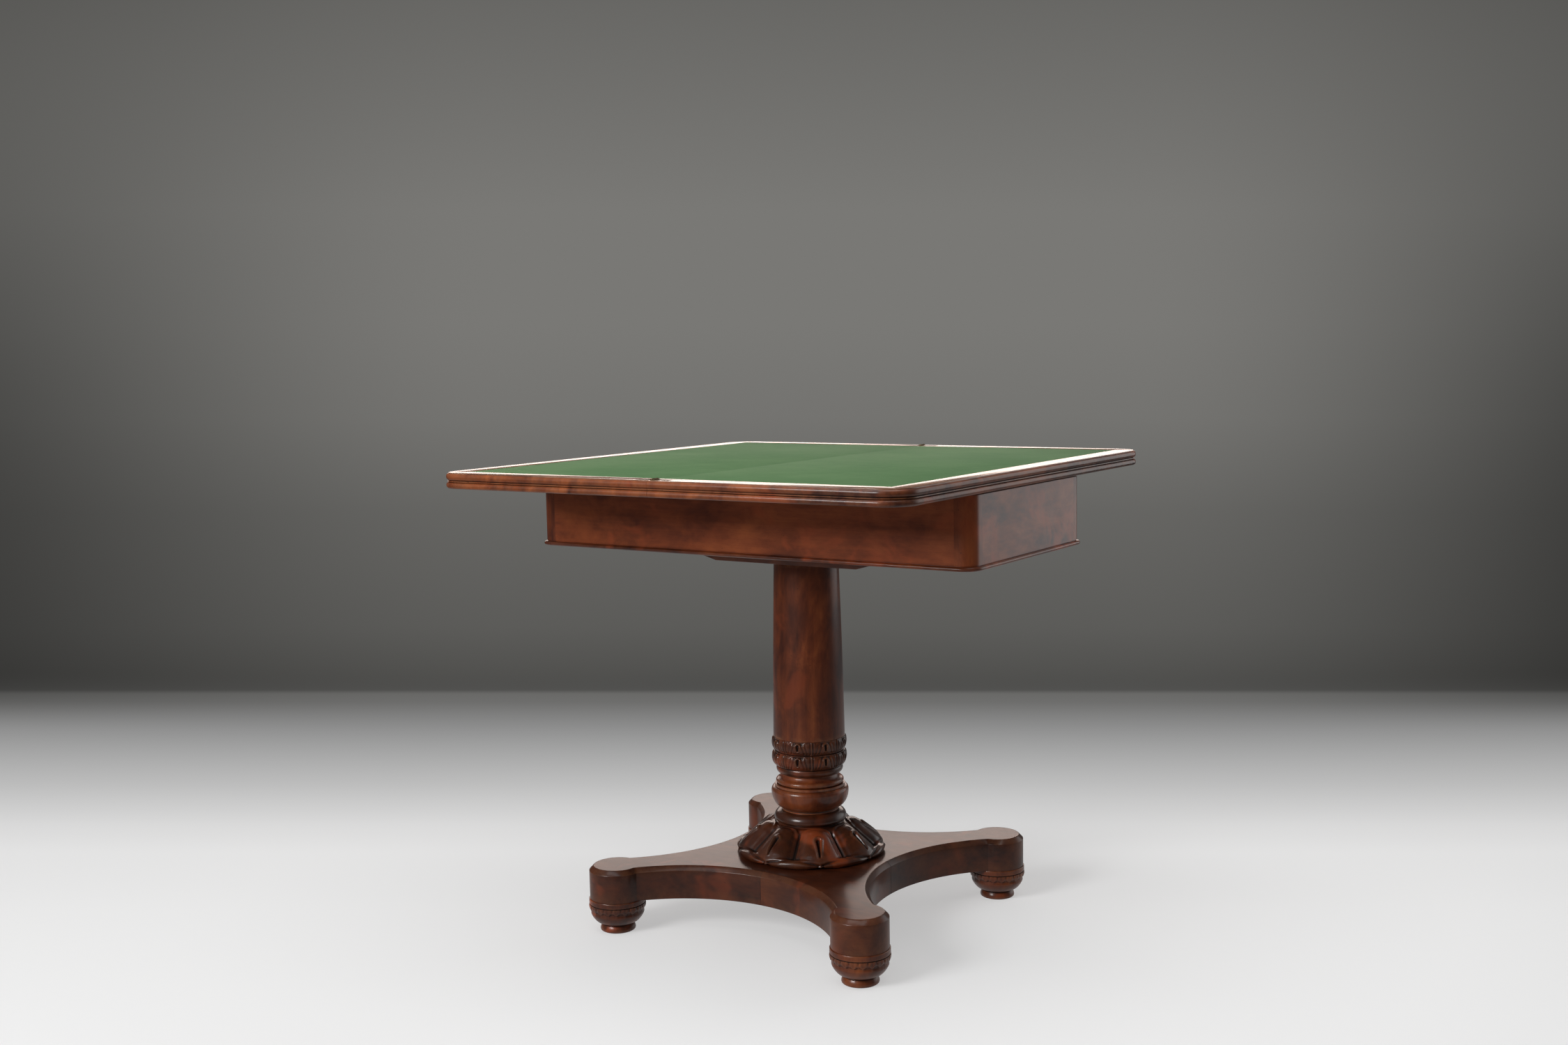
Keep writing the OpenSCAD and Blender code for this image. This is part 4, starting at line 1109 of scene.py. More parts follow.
def build_baluster(column, finish):
    torus, neck = column.torus_diameter / MM / 2, column.neck_diameter / MM / 2
    line = np.vstack([
        [(neck, 0), (neck, 3.6), (neck + 0.4, 4.0), (neck + 1.8, 4.0), (neck + 2.0, 4.6)],
        arc(neck, 31.5, torus - neck, 26.5, -78, 0, 24),
        arc(57.75, 31.5, torus - 57.75, 7.5, 6, 84, 12),
        [(55.9, 39.0), (57.4, 39.3), (57.75, 39.7), (57.75, 42.8), (57.4, 43.3), (55.75, 43.5)],
        arc(51.25, 48, 4.5, 4.5, -75, 45, 14),
        arc(55.75, 61, 9.25, 9.1, 250, 183, 12),
    ])
    # Slightly darker tones with strong red patches, as painted shade and painted warm reflected light
    # on the baluster.
    tones = tones_of(finish, 0.90, 1.7)
    material = wood("baluster mahogany", "Z", tones, shift=(0.1, 0.3, 0), polish=1.3)
    foot = node_box("turned_baluster")[0][2]
    add_turned("baluster_turned", bored(line, column.bore / MM / 2), foot, material, "turned_baluster")


def build_ovolo(column, finish):
    wide = column.ovolo_diameter / MM / 2
    neck = column.neck_diameter / MM / 2
    line = np.vstack([
        [(wide - 4.4, 0)],
        arc(wide - 4, 4, 4, 4, -82, 0, 10),
        arc(neck, 4, wide - neck, 13.5, 6, 86, 24),
        [(neck, 17.5)],
    ])
    # Much darker tones, as painted shade on the ovolo.
    tones = tones_of(finish, 0.24, 0.30)
    material = wood("ovolo mahogany", "Z", tones, shift=(0.2, 0.5, 0), polish=1.4)
    foot = node_box("ovolo_ring")[0][2]
    add_turned("ovolo_turned", bored(line, column.bore / MM / 2), foot, material, "ovolo_ring")


def build_dome(carving, column, finish):
    foot = node_box("carved_dome")[0][2]
    line = smooth_line([
        (117, 0), (120.6, 2.2), (122, 6.4), (120, 11), (116.2, 16), (110.5, 22.5), (102, 29.5),
        (92, 37), (82, 44.8), (72, 50), (62, 52), (52, 52.5),
    ], 136)
    segments = 8 * 88
    depth = dome_depths(line, segments, carving)
    inner = column.bore / MM / 2
    mesh = carved_mesh("dome", line, depth, segments, (0, 0, foot), inner, (13, 9), (2.4, 1.5))
    # Much darker tones, as painted shade on the dome.
    material = wood("dome mahogany", "Z", tones_of(finish, 0.30, 0.90), shift=(0.5, 0.3, 0), polish=1.7)
    add_piece("dome_of_leaves", mesh, "stand", "mahogany", material, "carved_dome")


def build_collar(carving, column, finish):
    foot = node_box("carved_collar")[0][2]
    neck = column.neck_diameter / MM / 2
    ring_top, tiers_meet = 13, 38
    ring = np.vstack([arc(neck, 7.8, 8.25, 7.8, -88, 0, 14), [(54.4, 11.8), (53.6, 12.6)]])
    lower = smooth_line([
        (54.6, 13.2), (57.6, 15.4), (60.0, 19.6), (61.25, 25), (61.1, 30), (60.2, 35.4), (58.2, 37.6),
    ], 60)
    upper = smooth_line([
        (56.4, 38.3), (58.4, 41.0), (60.4, 45.0), (61.25, 50), (61.0, 55), (60.3, 59.6), (58.9, 61),
    ], 60)
    line = np.vstack([ring, lower, upper])
    segments, none = 8 * 66, -1.0
    z = line[:, 1][:, None]
    upper_t = np.where(z > tiers_meet, (61.0 - z) / 22.8, none)
    lower_t = np.where((z < tiers_meet) & (z > ring_top), (37.7 - z) / 24.2, none)
    depth = tier_depths(upper_t, line, segments, carving)
    depth = depth + tier_depths(lower_t, line, segments, carving)
    inner = column.bore / MM / 2
    mesh = carved_mesh("collar", line, depth, segments, (0, 0, foot), inner, (9, 7), (1.1, 0.8))
    # Much darker tones, as painted shade on the collar.
    material = wood("collar mahogany", "Z", tones_of(finish, 0.36, 0.75), shift=(0.6, 0.1, 0))
    add_piece("collar_of_leaves", mesh, "stand", "mahogany", material, "carved_collar")


BORE_STEPS = 16


def quarter_ring(platform, inset, notch):
    """Outline of the platform quarter at +X and +Y, drawn in by an inset."""
    reach = platform.foot_pitch / MM / 2
    hollow = platform.side_radius / MM + inset
    drum = platform.drum_diameter / MM / 2 - inset
    centre = platform.waist / MM + platform.side_radius / MM
    edge = 0.05
    between = np.array([centre - reach, -reach])
    apart = np.linalg.norm(between)
    toward = between / apart
    a = (drum**2 - hollow**2 + apart**2) / (2 * apart)
    h = math.sqrt(drum**2 - a**2)
    meet = np.array([reach, reach]) + a * toward - h * np.array([-toward[1], toward[0]])
    start = math.asin(edge / hollow)
    end = math.atan2(meet[1], centre - meet[0])
    slit, face = start + 0.0028, start + 0.006
    turns = np.concatenate([[start, slit], np.linspace(face, end, 46)])
    radii = np.full(len(turns), hollow)
    radii[0] += notch
    side = np.column_stack([centre - radii * np.cos(turns), radii * np.sin(turns)])
    first = math.degrees(math.atan2(meet[1] - reach, meet[0] - reach))
    around = arc(reach, reach, drum, drum, first, 90 - first, 92)
    bore = platform.bore / MM / 2
    clear = math.degrees(math.asin(edge / bore))
    inner = arc(0, 0, bore, bore, 90 - clear, clear, BORE_STEPS)
    return np.vstack([side, around[1:-1], side[::-1, ::-1], inner])


def build_platform(platform, finish):
    low, high = node_box("platform_back_right")
    bevel, thick, joint_notch, joint_hollow = platform.bevel / MM, high[2] - low[2], 0.2, 0.4
    side = thick - bevel
    # Each level is an inset, a height and a mark of wear. The marks are highest on the arrises, which
    # the wood lightens as wear and as painted highlight.
    levels = [
        (1.5, 0.0, 0.3), (0.5, 0.0, 0.9), (0.0, 0.5, 0.5), (0.0, 24.0, 0.0), (0.0, side - 0.5, 0.3),
        (0.12, side - 0.1, 1.0), (0.5, side + 0.4, 0.6), (bevel - 0.7, thick - 0.75, 0.6),
        (bevel - 0.15, thick - 0.3, 1.0), (bevel + 0.5, thick, 0.35), (bevel + 1.5, thick, 0.1),
    ]
    rings, worn = [], []
    for inset, z, mark in levels:
        ring = quarter_ring(platform, inset, joint_notch)
        rings.append(np.column_stack([ring, np.full(len(ring), low[2] + z)]))
        worn.append(np.full(len(ring), mark))
    rings, worn = np.array(rings), np.array(worn)
    inner = rings.shape[1] - (BORE_STEPS + 1)
    worn[:, inner:] = 0
    hollow = np.zeros_like(worn)
    hollow[:, 0] = joint_hollow
    hollow[:, inner - 1] = joint_hollow
    mesh = finished(skinned("quarter", rings, (hollow, worn), capped=True))
    for turn, corner in zip(CORNER_TURNS, CORNERS):
        made = mesh.copy()
        made.transform(Matrix.Rotation(math.radians(turn), 4, "Z"))
        slant = math.radians(-45.0 if turn in (0, 180) else 45.0)
        name = f"platform_quarter_{corner}"
        shift = (0.1 * turn / 90, 0.37, 0.2)
        # Darker tones with weak red patches, as painted shade on the platform.
        material = wood(name + " mahogany", "X", tones_of(finish, 0.37, 0.5), slant, shift, figure=0.8)
        add_piece(name, made, "stand", "mahogany", material, f"platform_{corner}")


def build_feet(carving, platform, finish):
    top = node_box("platform_back_right")[0][2]
    disc = platform.disc_diameter / MM / 2
    bowl = platform.bowl_diameter / MM / 2
    line = np.vstack([
        smooth_line([
            (disc - 2.2, 0), (disc - 0.6, 1.1), (disc, 3.0), (disc - 0.3, 5.4), (disc - 1.3, 8.2),
            (disc - 2.6, 10.6),
        ], 22),
        smooth_line([(disc - 3.2, 11.4), (disc - 3.3, 12.4), (disc - 2.2, 13.3)], 6),
        smooth_line([
            (disc - 0.6, 13.8), (disc + 5.0, 15.8), (bowl - 7.4, 21.0), (bowl - 3.8, 27.0),
            (bowl - 1.9, 32.5), (bowl - 0.9, 37.0), (bowl, 41.0), (bowl - 0.3, 44.4),
        ], 84),
        [(bowl - 1.5, 45.0), (bowl - 1.6, 45.5), (bowl - 0.9, 46.0), (bowl - 0.5, 46.6)],
        resampled(np.array([(bowl - 0.5, 47.0), (bowl - 0.5, top - 1.3)]), 8),
        [(bowl - 0.6, top - 0.6), (bowl - 1.1, top)],
    ])
    segments = carving.foot_leaves * 16
    depth = foot_depths(line, segments, carving)
    for index, (corner, (sx, sy)) in enumerate(CORNERS.items()):
        reach = platform.foot_pitch / MM / 2
        centre, inner = (sx * reach, sy * reach, 0), 2.0
        mesh = carved_mesh("foot", line, depth, segments, centre, inner, (5, 5), (1.0, 0.8))
        name = f"turned_foot_{corner}"
        # Darker tones with strong red patches, as painted shade and painted warm light reflected from
        # the floor on the feet.
        tones = tones_of(finish, 0.68, 1.3)
        material = wood(name + " mahogany", "Z", tones, shift=(0.2 * index, 0, 0), polish=1.2)
        add_piece(name, mesh, "stand", "mahogany", material, f"foot_{corner}")


def tones_of(finish, painted_light_level=1.0, glow=1.0):
    """The tones of the polished mahogany, scaled for each piece by a level and by the strength of its
    red patches. These are painted light and shade: each piece is made lighter or darker, and its red
    patches stronger or weaker, for how much light falls on it, and on some pieces for warm light
    reflected on them.
    """
    tones = {
        "dark": finish.mahogany_dark,
        "mid": finish.mahogany_mid,
        "light": finish.mahogany_light,
        "pore": finish.pore,
        "worn": finish.worn_edge_and_highlight,
        "wax_and_shade": finish.wax_and_shade,
    }
    tones = {name: tuple(painted_light_level * part for part in colour) for name, colour in tones.items()}
    return dict(tones, glow=tuple(glow * part for part in finish.mahogany_glow))


# Stage


CAMERA_PLACE = (1.4694, -2.3021, 0.9421)
CAMERA_YAW = -0.5808
CAMERA_PITCH = 0.1066
CAMERA_ROLL = -0.0189
LENS = 38.914
PICTURE_WIDTH, PICTURE_HEIGHT = 36.0, 24.0


def add_camera():
    x, y, forward = picture_axes()
    camera = bpy.data.objects.new("camera", bpy.data.cameras.new("camera"))
    camera.data.sensor_width = PICTURE_WIDTH
    camera.data.lens = LENS
    turn = Matrix((x, y, -forward)).transposed().to_4x4()
    camera.matrix_world = Matrix.Translation(CAMERA_PLACE) @ turn
    bpy.context.scene.collection.objects.link(camera)
    bpy.context.scene.camera = camera


def picture_axes():
    """Right, up and forward directions of the camera."""
    forward = Vector((
        math.sin(CAMERA_YAW) * math.cos(CAMERA_PITCH),
        math.cos(CAMERA_YAW) * math.cos(CAMERA_PITCH),
        -math.sin(CAMERA_PITCH),
    ))
    right = Vector((math.cos(CAMERA_YAW), -math.sin(CAMERA_YAW), 0))
    up = right.cross(forward)
    x = math.cos(CAMERA_ROLL) * right + math.sin(CAMERA_ROLL) * up
    y = -math.sin(CAMERA_ROLL) * right + math.cos(CAMERA_ROLL) * up
    return x, y, forward


def add_sweep(stage):
    """Floor that curves up into a wall behind the table, square to the camera."""
    wall, bend, head, near, half, columns = 6.0, 0.5, 3.4, -3.5, 3.4, 30
    floor = [(d, 0.0) for d in np.linspace(near, wall - bend, 60)]
    curve = [(wall - bend + x, bend + z) for x, z in arc(0, 0, bend, bend, -90, 0, 14)[1:]]
    upright = [(wall, z) for z in np.linspace(bend, head, 16)[1:]]
    ahead = np.array([math.sin(CAMERA_YAW), math.cos(CAMERA_YAW)])
    right = np.array([math.cos(CAMERA_YAW), -math.sin(CAMERA_YAW)])
    start = np.array(CAMERA_PLACE[:2])
    rows = floor + curve + upright
    points = []
    for d, z in rows:
        for w in np.linspace(-half, half, columns):
            x, y = start + ahead * d + right * w
            points.append((x, y, z))
    faces = [
        (i * columns + j, i * columns + j + 1, (i + 1) * columns + j + 1, (i + 1) * columns + j)
        for i in range(len(rows) - 1)
        for j in range(columns - 1)
    ]
    points = np.array(points)
    mesh = mesh_of("sweep", points / MM, faces)
    for label, axis in zip(("aside", "above", "ahead"), picture_axes()):
        values = (points - CAMERA_PLACE) @ np.array(axis)
        mesh.attributes.new(label, "FLOAT", "POINT").data.foreach_set("value", values)
    mesh.shade_smooth()
    mesh.materials.append(sweep_material(stage))
    made = linked("sweep", mesh)


def sweep_material(stage):
    """Pale floor that keeps its shadows, darkening to a grey wall with darker sides."""
    material, nodes = new_material("sweep")
    ahead = nodes.mark("ahead")
    fall = nodes.mark("above").math("DIVIDE", nodes.mark("above"), ahead)
    across = nodes.mark("aside").math("DIVIDE", nodes.mark("aside"), ahead)
    height = 0.5 - fall * (LENS / PICTURE_HEIGHT)
    upper_wall = [(0.0, 104), (0.20, 121), (0.31, 121)]
    lower_wall = [(0.40, 116), (0.49, 101.5), (0.60, 92), (0.65, 80), (0.66, 80)]
    far_floor = [(0.6635, 105), (0.672, 110), (0.695, 140), (0.75, 191)]
    near_floor = [(0.79, 224), (0.815, 234.5), (0.87, 237)]
    stops = []
    for place, tone in upper_wall + lower_wall + far_floor + near_floor:
        value = ((tone / 255 + 0.055) / 1.055) ** 2.4
        stops.append((place, (value, value, value)))
    tone = nodes.ramp(height, stops)
    wall = height.rise(0.70, 0.64)
    sides = (across * -1.0).rise(0.16, 0.56) * 0.80 + across.rise(0.20, 0.56) * 0.85
    darker = sides * height.rise(0.0, 0.45, 0.45, 1.0) * wall
    tone = nodes.mix(darker, tone, (0.02, 0.02, 0.02))
    tone = nodes.mix(wall, tone, (1.0, 0.985, 0.93), "MULTIPLY")
    # Painted light: the lit part of the floor is lighter in colour towards the right, to even out the
    # key lamp, which falls stronger on the left.
    painted_light_evener = across.rise(-0.30, 0.25, 0.97, 1.26)
    lit_tone = nodes.add("ShaderNodeVectorMath", {"operation": "SCALE"}, {0: tone, "Scale": painted_light_evener})
    lit = nodes.add("ShaderNodeBsdfDiffuse", {}, {"Color": lit_tone})
    glow = nodes.add("ShaderNodeEmission", {}, {"Color": tone, "Strength": 1.0})
    seen = nodes.add("ShaderNodeMixShader", {}, {
        0: height.rise(0.86, 0.70, stage.floor_glow, 1.0),
        1: lit,
        2: glow,
    })
    plain = nodes.add("ShaderNodeBsdfDiffuse", {}, {"Color": (stage.floor,) * 3 + (1.0,)})
    spot = nodes.add("ShaderNodeTexCoord", output=3)
    reach = nodes.add("ShaderNodeVectorMath", {"operation": "LENGTH"}, {0: spot}, output=1)
    mirrored = reach.rise(0.8, 2.6, stage.floor_mirror, 0.05)
    near = nodes.add("ShaderNodeEmission", {}, {"Strength": mirrored})
    glossy = nodes.add("ShaderNodeLightPath", output=3)
    thrown = nodes.add("ShaderNodeMixShader", {}, {0: glossy, 1: plain, 2: near})
    path = nodes.add("ShaderNodeLightPath", output=0)
    shown = nodes.add("ShaderNodeMixShader", {}, {0: path, 1: thrown, 2: seen})
    hidden = nodes.add("ShaderNodeBsdfTransparent")
    back = nodes.add("ShaderNodeNewGeometry", output=6)
    surface = nodes.add("ShaderNodeMixShader", {}, {0: back, 1: shown, 2: hidden})
    nodes.add("ShaderNodeOutputMaterial", {}, {"Surface": surface})
    return material


def add_softbox(name, place, target, size, watts, colour=(1.0, 1.0, 1.0)):
    """Soft lamp of a given width and height that the camera doesn't see."""
    lamp = bpy.data.objects.new(name, bpy.data.lights.new(name, "AREA"))
    lamp.data.shape = "RECTANGLE"
    lamp.data.size, lamp.data.size_y = size
    lamp.data.energy = watts
    lamp.data.color = colour
    way = Vector(target) - Vector(place)
    lamp.matrix_world = Matrix.Translation(place) @ way.to_track_quat("-Z", "Y").to_matrix().to_4x4()
    lamp.visible_camera = False
    bpy.context.scene.collection.objects.link(lamp)


def set_world(stage):
    """Dim room with one bright side, behind and to the right."""
    world = bpy.data.worlds.new("studio")
    world.use_nodes = True
    world.node_tree.nodes.clear()
    nodes = Nodes(world.node_tree)
    way = nodes.add("ShaderNodeTexCoord", output=0)

    def facing(bearing, lift):
        turn, up = math.radians(bearing), math.radians(lift)
        toward = (math.cos(turn) * math.cos(up), math.sin(turn) * math.cos(up), math.sin(up))
        settings = {"operation": "DOT_PRODUCT"}
        return nodes.add("ShaderNodeVectorMath", settings, {0: way, 1: toward}, output=1)

    lift, ceiling = 4, stage.dark_world * 2.2
    light = facing(stage.bright_side, lift).rise(0.80, 0.97, 0.0, stage.bright_world)
    light = light + facing(0, 90).rise(-0.1, 0.9, stage.dark_world, ceiling)
    glow = nodes.add("ShaderNodeBackground", {}, {"Strength": light})
    nodes.add("ShaderNodeOutputWorld", {}, {"Surface": glow})
    bpy.context.scene.world = world


def build_stage(stage):
    scene = bpy.context.scene
    scene.view_settings.view_transform = "Standard"
    add_camera()
    add_sweep(stage)
    set_world(stage)
    add_softbox("overhead", (0.1, -0.5, 3.0), (0, 0, 0.6), (2.6, 2.0), stage.overhead)
    add_softbox("key", (-0.9, -3.1, 1.9), (0, 0, 0.45), (1.3, 1.0), stage.key)
    place, warm = (-1.658, 2.463, 1.0), (1.0, 0.83, 0.75)
    add_softbox("behind", place, (0, -0.06, 1.0), (2.9, 0.5), stage.behind, warm)


# What a user may change


def size(name, description, millimetres, least=0.0):
    return bpy.props.FloatProperty(
        name=name, description=description, default=millimetres * MM, min=least, precision=5,
        subtype="DISTANCE", unit="LENGTH",
    )


def tint(name, description, colour):
    return bpy.props.FloatVectorProperty(
        name=name, description=description, default=colour, size=3, min=0.0, max=1.0, subtype="COLOR",
    )


def level(name, description, value):
    return bpy.props.FloatProperty(name=name, description=description, default=value, min=0.0)


def count(name, description, value, least, most):
    return bpy.props.IntProperty(
        name=name, description=description, default=value, min=least, max=most,
    )


BOARD_LOW, BOARD_HIGH = node_box("lower_leaf_board")
BOARD_THICKNESS = BOARD_HIGH[2] - BOARD_LOW[2]


class TopSettings(bpy.types.PropertyGroup):
    board: size("Board thickness", "Thickness of a leaf without its banding", BOARD_THICKNESS)
    corner: size("Corner radius", "Radius of the outer corners of a leaf", 46)
    edge_depth: size("Edge depth", "Depth of the moulding round a leaf", 6)
    bead_nose: size("Bead nose", "How far the beads stand out from the fillet line", 4)
    lower_bead: size("Lower bead", "Height of the lower bead", 9.6)
    quirk: size("Quirk", "Height of each quirk beside the fillet", 0.8)
    fillet: size("Fillet", "Height of the fillet between the beads", 1.6)
    banding_width: size("Banding width", "Width of the banding round the cloth", 38)
    hinge_inset: size("Hinge inset", "From a hinge's middle to the end of the seam", 20)
    hinge_width: size("Hinge width", "Length of a hinge along the seam", 16)
    hinge_screw: size("First hinge screw", "From the seam to the nearer screw", 12)
    hinge_screw_pitch: size("Hinge screw pitch", "Between the two screws of a plate", 10)
    plate_screw_circle: size("Plate screw circle", "Radius of the pivot plate's screw circle", 46)


class FriezeSettings(bpy.types.PropertyGroup):
    left_joint: size("Left bead joint", "Joint of the front bead's left two lengths, on X", -14, -1)
    right_joint: size("Right bead joint", "Joint of the front bead's right two lengths, on X", 218, -1)


class ColumnSettings(bpy.types.PropertyGroup):
    top_diameter: size("Shaft top", "Diameter of the shaft at its top", 105.5)
    foot_diameter: size("Shaft foot", "Diameter of the shaft at its foot", 117.5)
    top_tenon: size("Top tenon", "Diameter of the tenon through the bearer", 46)
    foot_tenon: size("Foot tenon", "Diameter of the tenon through the collars", 34)
    bore: size("Bore", "Bore of the rings on the tenon", 34.2)
    torus_diameter: size("Torus", "Diameter of the baluster's torus", 127.2)
    neck_diameter: size("Neck", "Diameter of the baluster's necks", 93)
    ovolo_diameter: size("Ovolo", "Diameter of the ovolo ring", 119)


class CarvingSettings(bpy.types.PropertyGroup):
    leaves: count("Leaves", "Leaves round the dome and round each tier of the collar", 8, 4, 16)
    foot_leaves: count("Foot leaves", "Small leaves round the bowl of a foot", 20, 6, 32)
    first_slot: level("First dome slot", "Bearing of a slot of the dome from +X, in degrees", 39.7)
    first_collar_slot: level("First collar slot", "Bearing of a collar slot from +X, in degrees", 13.7)
    leaf_depth: size("Leaf depth", "Depth of the valleys between the dome's leaves", 14)
    slot_depth: size("Slot depth", "Depth of the slots in the dome's leaves", 6)


class PlatformSettings(bpy.types.PropertyGroup):
    foot_pitch: size("Foot pitch", "Between the centres of neighbouring feet", 456)
    drum_diameter: size("Drum", "Diameter of the drums over the feet", 88)
    waist: size("Waist", "From the column's axis to the middle of a hollow side", 151)
    side_radius: size("Side radius", "Radius of the hollow sides", 248)
    bevel: size("Bevel", "Bevel round the platform's top", 7)
    bore: size("Bore", "Hole for the column's tenon", 34.2)
    bowl_diameter: size("Bowl", "Largest diameter of a foot", 92)
    disc_diameter: size("Disc", "Diameter of the disc that a foot stands on", 57)


class FinishSettings(bpy.types.PropertyGroup):
    mahogany_dark: tint("Mahogany, dark", "Darkest figure of the mahogany", (0.066, 0.0130, 0.0048))
    mahogany_mid: tint("Mahogany, middle", "Middle tone of the mahogany", (0.200, 0.0430, 0.0115))
    mahogany_light: tint("Mahogany, light", "Lightest figure of the mahogany", (0.390, 0.1000, 0.0260))
    mahogany_glow: tint("Mahogany, glow", "Red where the polish is thin", (0.42, 0.0780, 0.0200))
    pore: tint("Pores", "Colour in the open pores", (0.016, 0.0070, 0.0050))
    # Painted highlight as well as wear: the proud edges and arrises take this lighter orange.
    worn_edge_and_highlight: tint("Worn edges", "Wood where its polish is rubbed thin", (0.36, 0.135, 0.055))
    # Painted shade as well as waxy dirt: this near-black tone darkens the hollows of carvings and
    # mouldings, and it also colours the dirt specks.
    wax_and_shade: tint("Old wax", "Old wax and dirt in the hollows", (0.012, 0.0065, 0.0050))
    # Paler tones of the banding: a lighter crossbanding, and partly painted sheen of the polished
    # border.
    banding: tint("Banding", "Lighter tone of the banding", (0.36, 0.195, 0.115))
    banding_dark: tint("Banding, dark", "Darker tone of the banding", (0.21, 0.100, 0.056))
    baize: tint("Baize", "Green of the playing cloth", (0.076, 0.151, 0.062))
    baize_faded: tint("Faded baize", "Green where the cloth has faded", (0.124, 0.205, 0.094))
    brass: tint("Brass", "Aged brass of the hinges", (0.16, 0.11, 0.055))
    iron: tint("Iron", "Dark iron of the pivot and screws", (0.20, 0.19, 0.18))
    pale_wood: tint("Secondary wood", "Wood of the well and pivot rail", (0.36, 0.22, 0.11))
    pale_wood_dark: tint("Secondary wood, dark", "Its darker grain", (0.22, 0.12, 0.055))


class StageSettings(bpy.types.PropertyGroup):
    floor: level("Floor", "How much light the floor throws back on the table", 0.35)
    floor_mirror: level("Floor in reflections", "Lightness of the near floor in polished wood", 0.45)
    floor_glow: level("Floor glow", "Share of the floor's tone that shadows don't darken", 0.52)
    overhead: level("Overhead", "Power of the soft lamp overhead, in watts", 44)
    key: level("Key", "Power of the soft lamp at the left, in watts", 75)
    behind: level("Behind", "Power of the soft lamp behind, in watts", 15)
    dark_world: level("Dark side", "Light of the room apart from its bright side", 0.09)
    bright_world: level("Bright side", "Light of the bright side", 1.55)
    bright_side: level("Bright bearing", "Bearing of the bright side from +X, in degrees", 65)


SETTINGS = {
    "card_table_top": TopSettings,
    "card_table_frieze": FriezeSettings,
    "card_table_column": ColumnSettings,
    "card_table_carving": CarvingSettings,
    "card_table_platform": PlatformSettings,
    "card_table_finish": FinishSettings,
    "card_table_stage": StageSettings,
}


# Operators


class BuildStage(bpy.types.Operator):
    """Sets up the camera, the floor and the lamps"""

    bl_idname = "card_table.stage"
    bl_label = "Stage"

    def execute(self, context):
        build_stage(context.scene.card_table_stage)
        return {"FINISHED"}


class BuildLeafBoards(bpy.types.Operator):
    """Makes the two moulded boards of the top"""

    bl_idname = "card_table.leaf_boards"
    bl_label = "Leaf boards"

    def execute(self, context):
        build_leaf_boards(context.scene.card_table_top, context.scene.card_table_finish)
        return {"FINISHED"}


class BuildBandings(bpy.types.Operator):
    """Makes the mitred banding round the cloth"""

    bl_idname = "card_table.bandings"
    bl_label = "Banding"

    def execute(self, context):
        build_bandings(context.scene.card_table_top, context.scene.card_table_finish)
        return {"FINISHED"}


class BuildCloths(bpy.types.Operator):
    """Makes the two sheets of playing cloth"""

    bl_idname = "card_table.cloths"
    bl_label = "Playing cloth"

    def execute(self, context):
        build_cloths(context.scene.card_table_finish)
        return {"FINISHED"}


class BuildHinges(bpy.types.Operator):
    """Makes the leaf hinges and their screws"""

    bl_idname = "card_table.hinges"
    bl_label = "Hinges"

    def execute(self, context):
        build_hinges(context.scene.card_table_top, context.scene.card_table_finish)
        return {"FINISHED"}


class BuildPivot(bpy.types.Operator):
    """Makes the pivot that the top turns on, and the screws underneath"""

    bl_idname = "card_table.pivot"
    bl_label = "Pivot"

    def execute(self, context):
        build_pivot(context.scene.card_table_top, context.scene.card_table_finish)
        return {"FINISHED"}


class BuildFrieze(bpy.types.Operator):
    """Finishes the frieze rails and makes the rounded corner posts"""

    bl_idname = "card_table.frieze"
    bl_label = "Frieze"

    def execute(self, context):
        build_frieze(context.scene.card_table_finish)
        return {"FINISHED"}


class BuildBeads(bpy.types.Operator):
    """Runs the bead round the foot of the frieze"""

    bl_idname = "card_table.beads"
    bl_label = "Frieze bead"

    def execute(self, context):
        build_beads(context.scene.card_table_frieze, context.scene.card_table_finish)
        return {"FINISHED"}


class BuildWell(bpy.types.Operator):
    """Makes the boards of the storage well, the glue blocks, the pivot rail and the glide strips"""

    bl_idname = "card_table.well"
    bl_label = "Storage well"

    def execute(self, context):
        build_well(context.scene.card_table_finish)
        return {"FINISHED"}


class BuildBearer(bpy.types.Operator):
    """Makes the bevelled bearer under the well"""

    bl_idname = "card_table.bearer"
    bl_label = "Bearer"

    def execute(self, context):
        build_bearer(context.scene.card_table_finish)
        return {"FINISHED"}


class BuildShaft(bpy.types.Operator):
    """Turns the plain shaft"""

    bl_idname = "card_table.shaft"
    bl_label = "Shaft"

    def execute(self, context):
        build_shaft(context.scene.card_table_column, context.scene.card_table_finish)
        return {"FINISHED"}


class BuildTurnings(bpy.types.Operator):
    """Turns the baluster and the ovolo ring"""

    bl_idname = "card_table.turnings"
    bl_label = "Baluster and ovolo"

    def execute(self, context):
        build_baluster(context.scene.card_table_column, context.scene.card_table_finish)
        build_ovolo(context.scene.card_table_column, context.scene.card_table_finish)
        return {"FINISHED"}


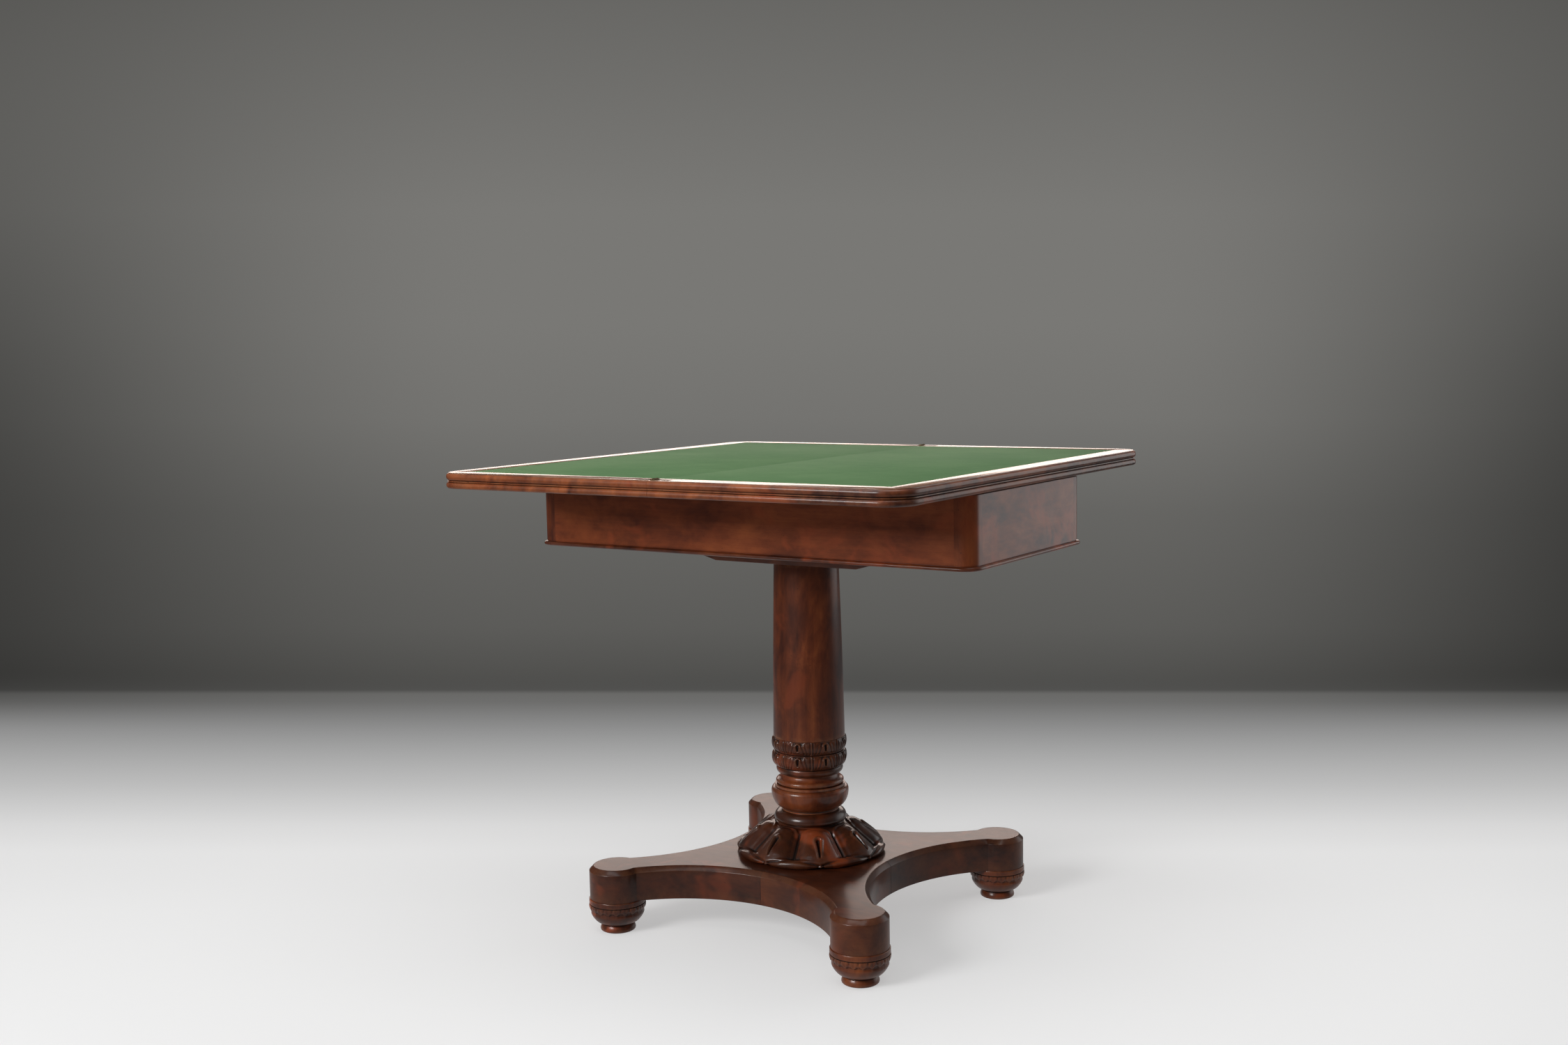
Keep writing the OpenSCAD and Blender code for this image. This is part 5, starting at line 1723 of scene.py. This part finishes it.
class BuildCarvings(bpy.types.Operator):
    """Carves the collar and the dome of leaves"""

    bl_idname = "card_table.carvings"
    bl_label = "Carved collar and dome"

    def execute(self, context):
        scene = context.scene
        build_dome(scene.card_table_carving, scene.card_table_column, scene.card_table_finish)
        build_collar(scene.card_table_carving, scene.card_table_column, scene.card_table_finish)
        return {"FINISHED"}


class BuildPlatform(bpy.types.Operator):
    """Makes the four quarters of the hollow-sided platform"""

    bl_idname = "card_table.platform"
    bl_label = "Platform"

    def execute(self, context):
        build_platform(context.scene.card_table_platform, context.scene.card_table_finish)
        return {"FINISHED"}


class BuildFeet(bpy.types.Operator):
    """Turns and carves the four feet"""

    bl_idname = "card_table.feet"
    bl_label = "Feet"

    def execute(self, context):
        scene = context.scene
        build_feet(scene.card_table_carving, scene.card_table_platform, scene.card_table_finish)
        return {"FINISHED"}


OPERATORS = (
    BuildStage,
    BuildLeafBoards,
    BuildBandings,
    BuildCloths,
    BuildHinges,
    BuildPivot,
    BuildFrieze,
    BuildBeads,
    BuildWell,
    BuildBearer,
    BuildShaft,
    BuildTurnings,
    BuildCarvings,
    BuildPlatform,
    BuildFeet,
)


class CardTablePanel(bpy.types.Panel):
    """Lists the steps that build the table"""

    bl_idname = "VIEW3D_PT_card_table"
    bl_label = "Folding card table"
    bl_space_type = "VIEW_3D"
    bl_region_type = "UI"
    bl_category = "Card table"

    def draw(self, context):
        for operator in OPERATORS:
            self.layout.operator(operator.bl_idname)


def register():
    for kind in (*SETTINGS.values(), *OPERATORS, CardTablePanel):
        bpy.utils.register_class(kind)
    for name, kind in SETTINGS.items():
        setattr(bpy.types.Scene, name, bpy.props.PointerProperty(type=kind))


def unregister():
    for name in SETTINGS:
        delattr(bpy.types.Scene, name)
    for kind in (CardTablePanel, *reversed(OPERATORS), *reversed(SETTINGS.values())):
        bpy.utils.unregister_class(kind)


def main():
    register()
    for operator in OPERATORS:
        family, name = operator.bl_idname.split(".")
        getattr(getattr(bpy.ops, family), name)()


if __name__ == "__main__":
    main()
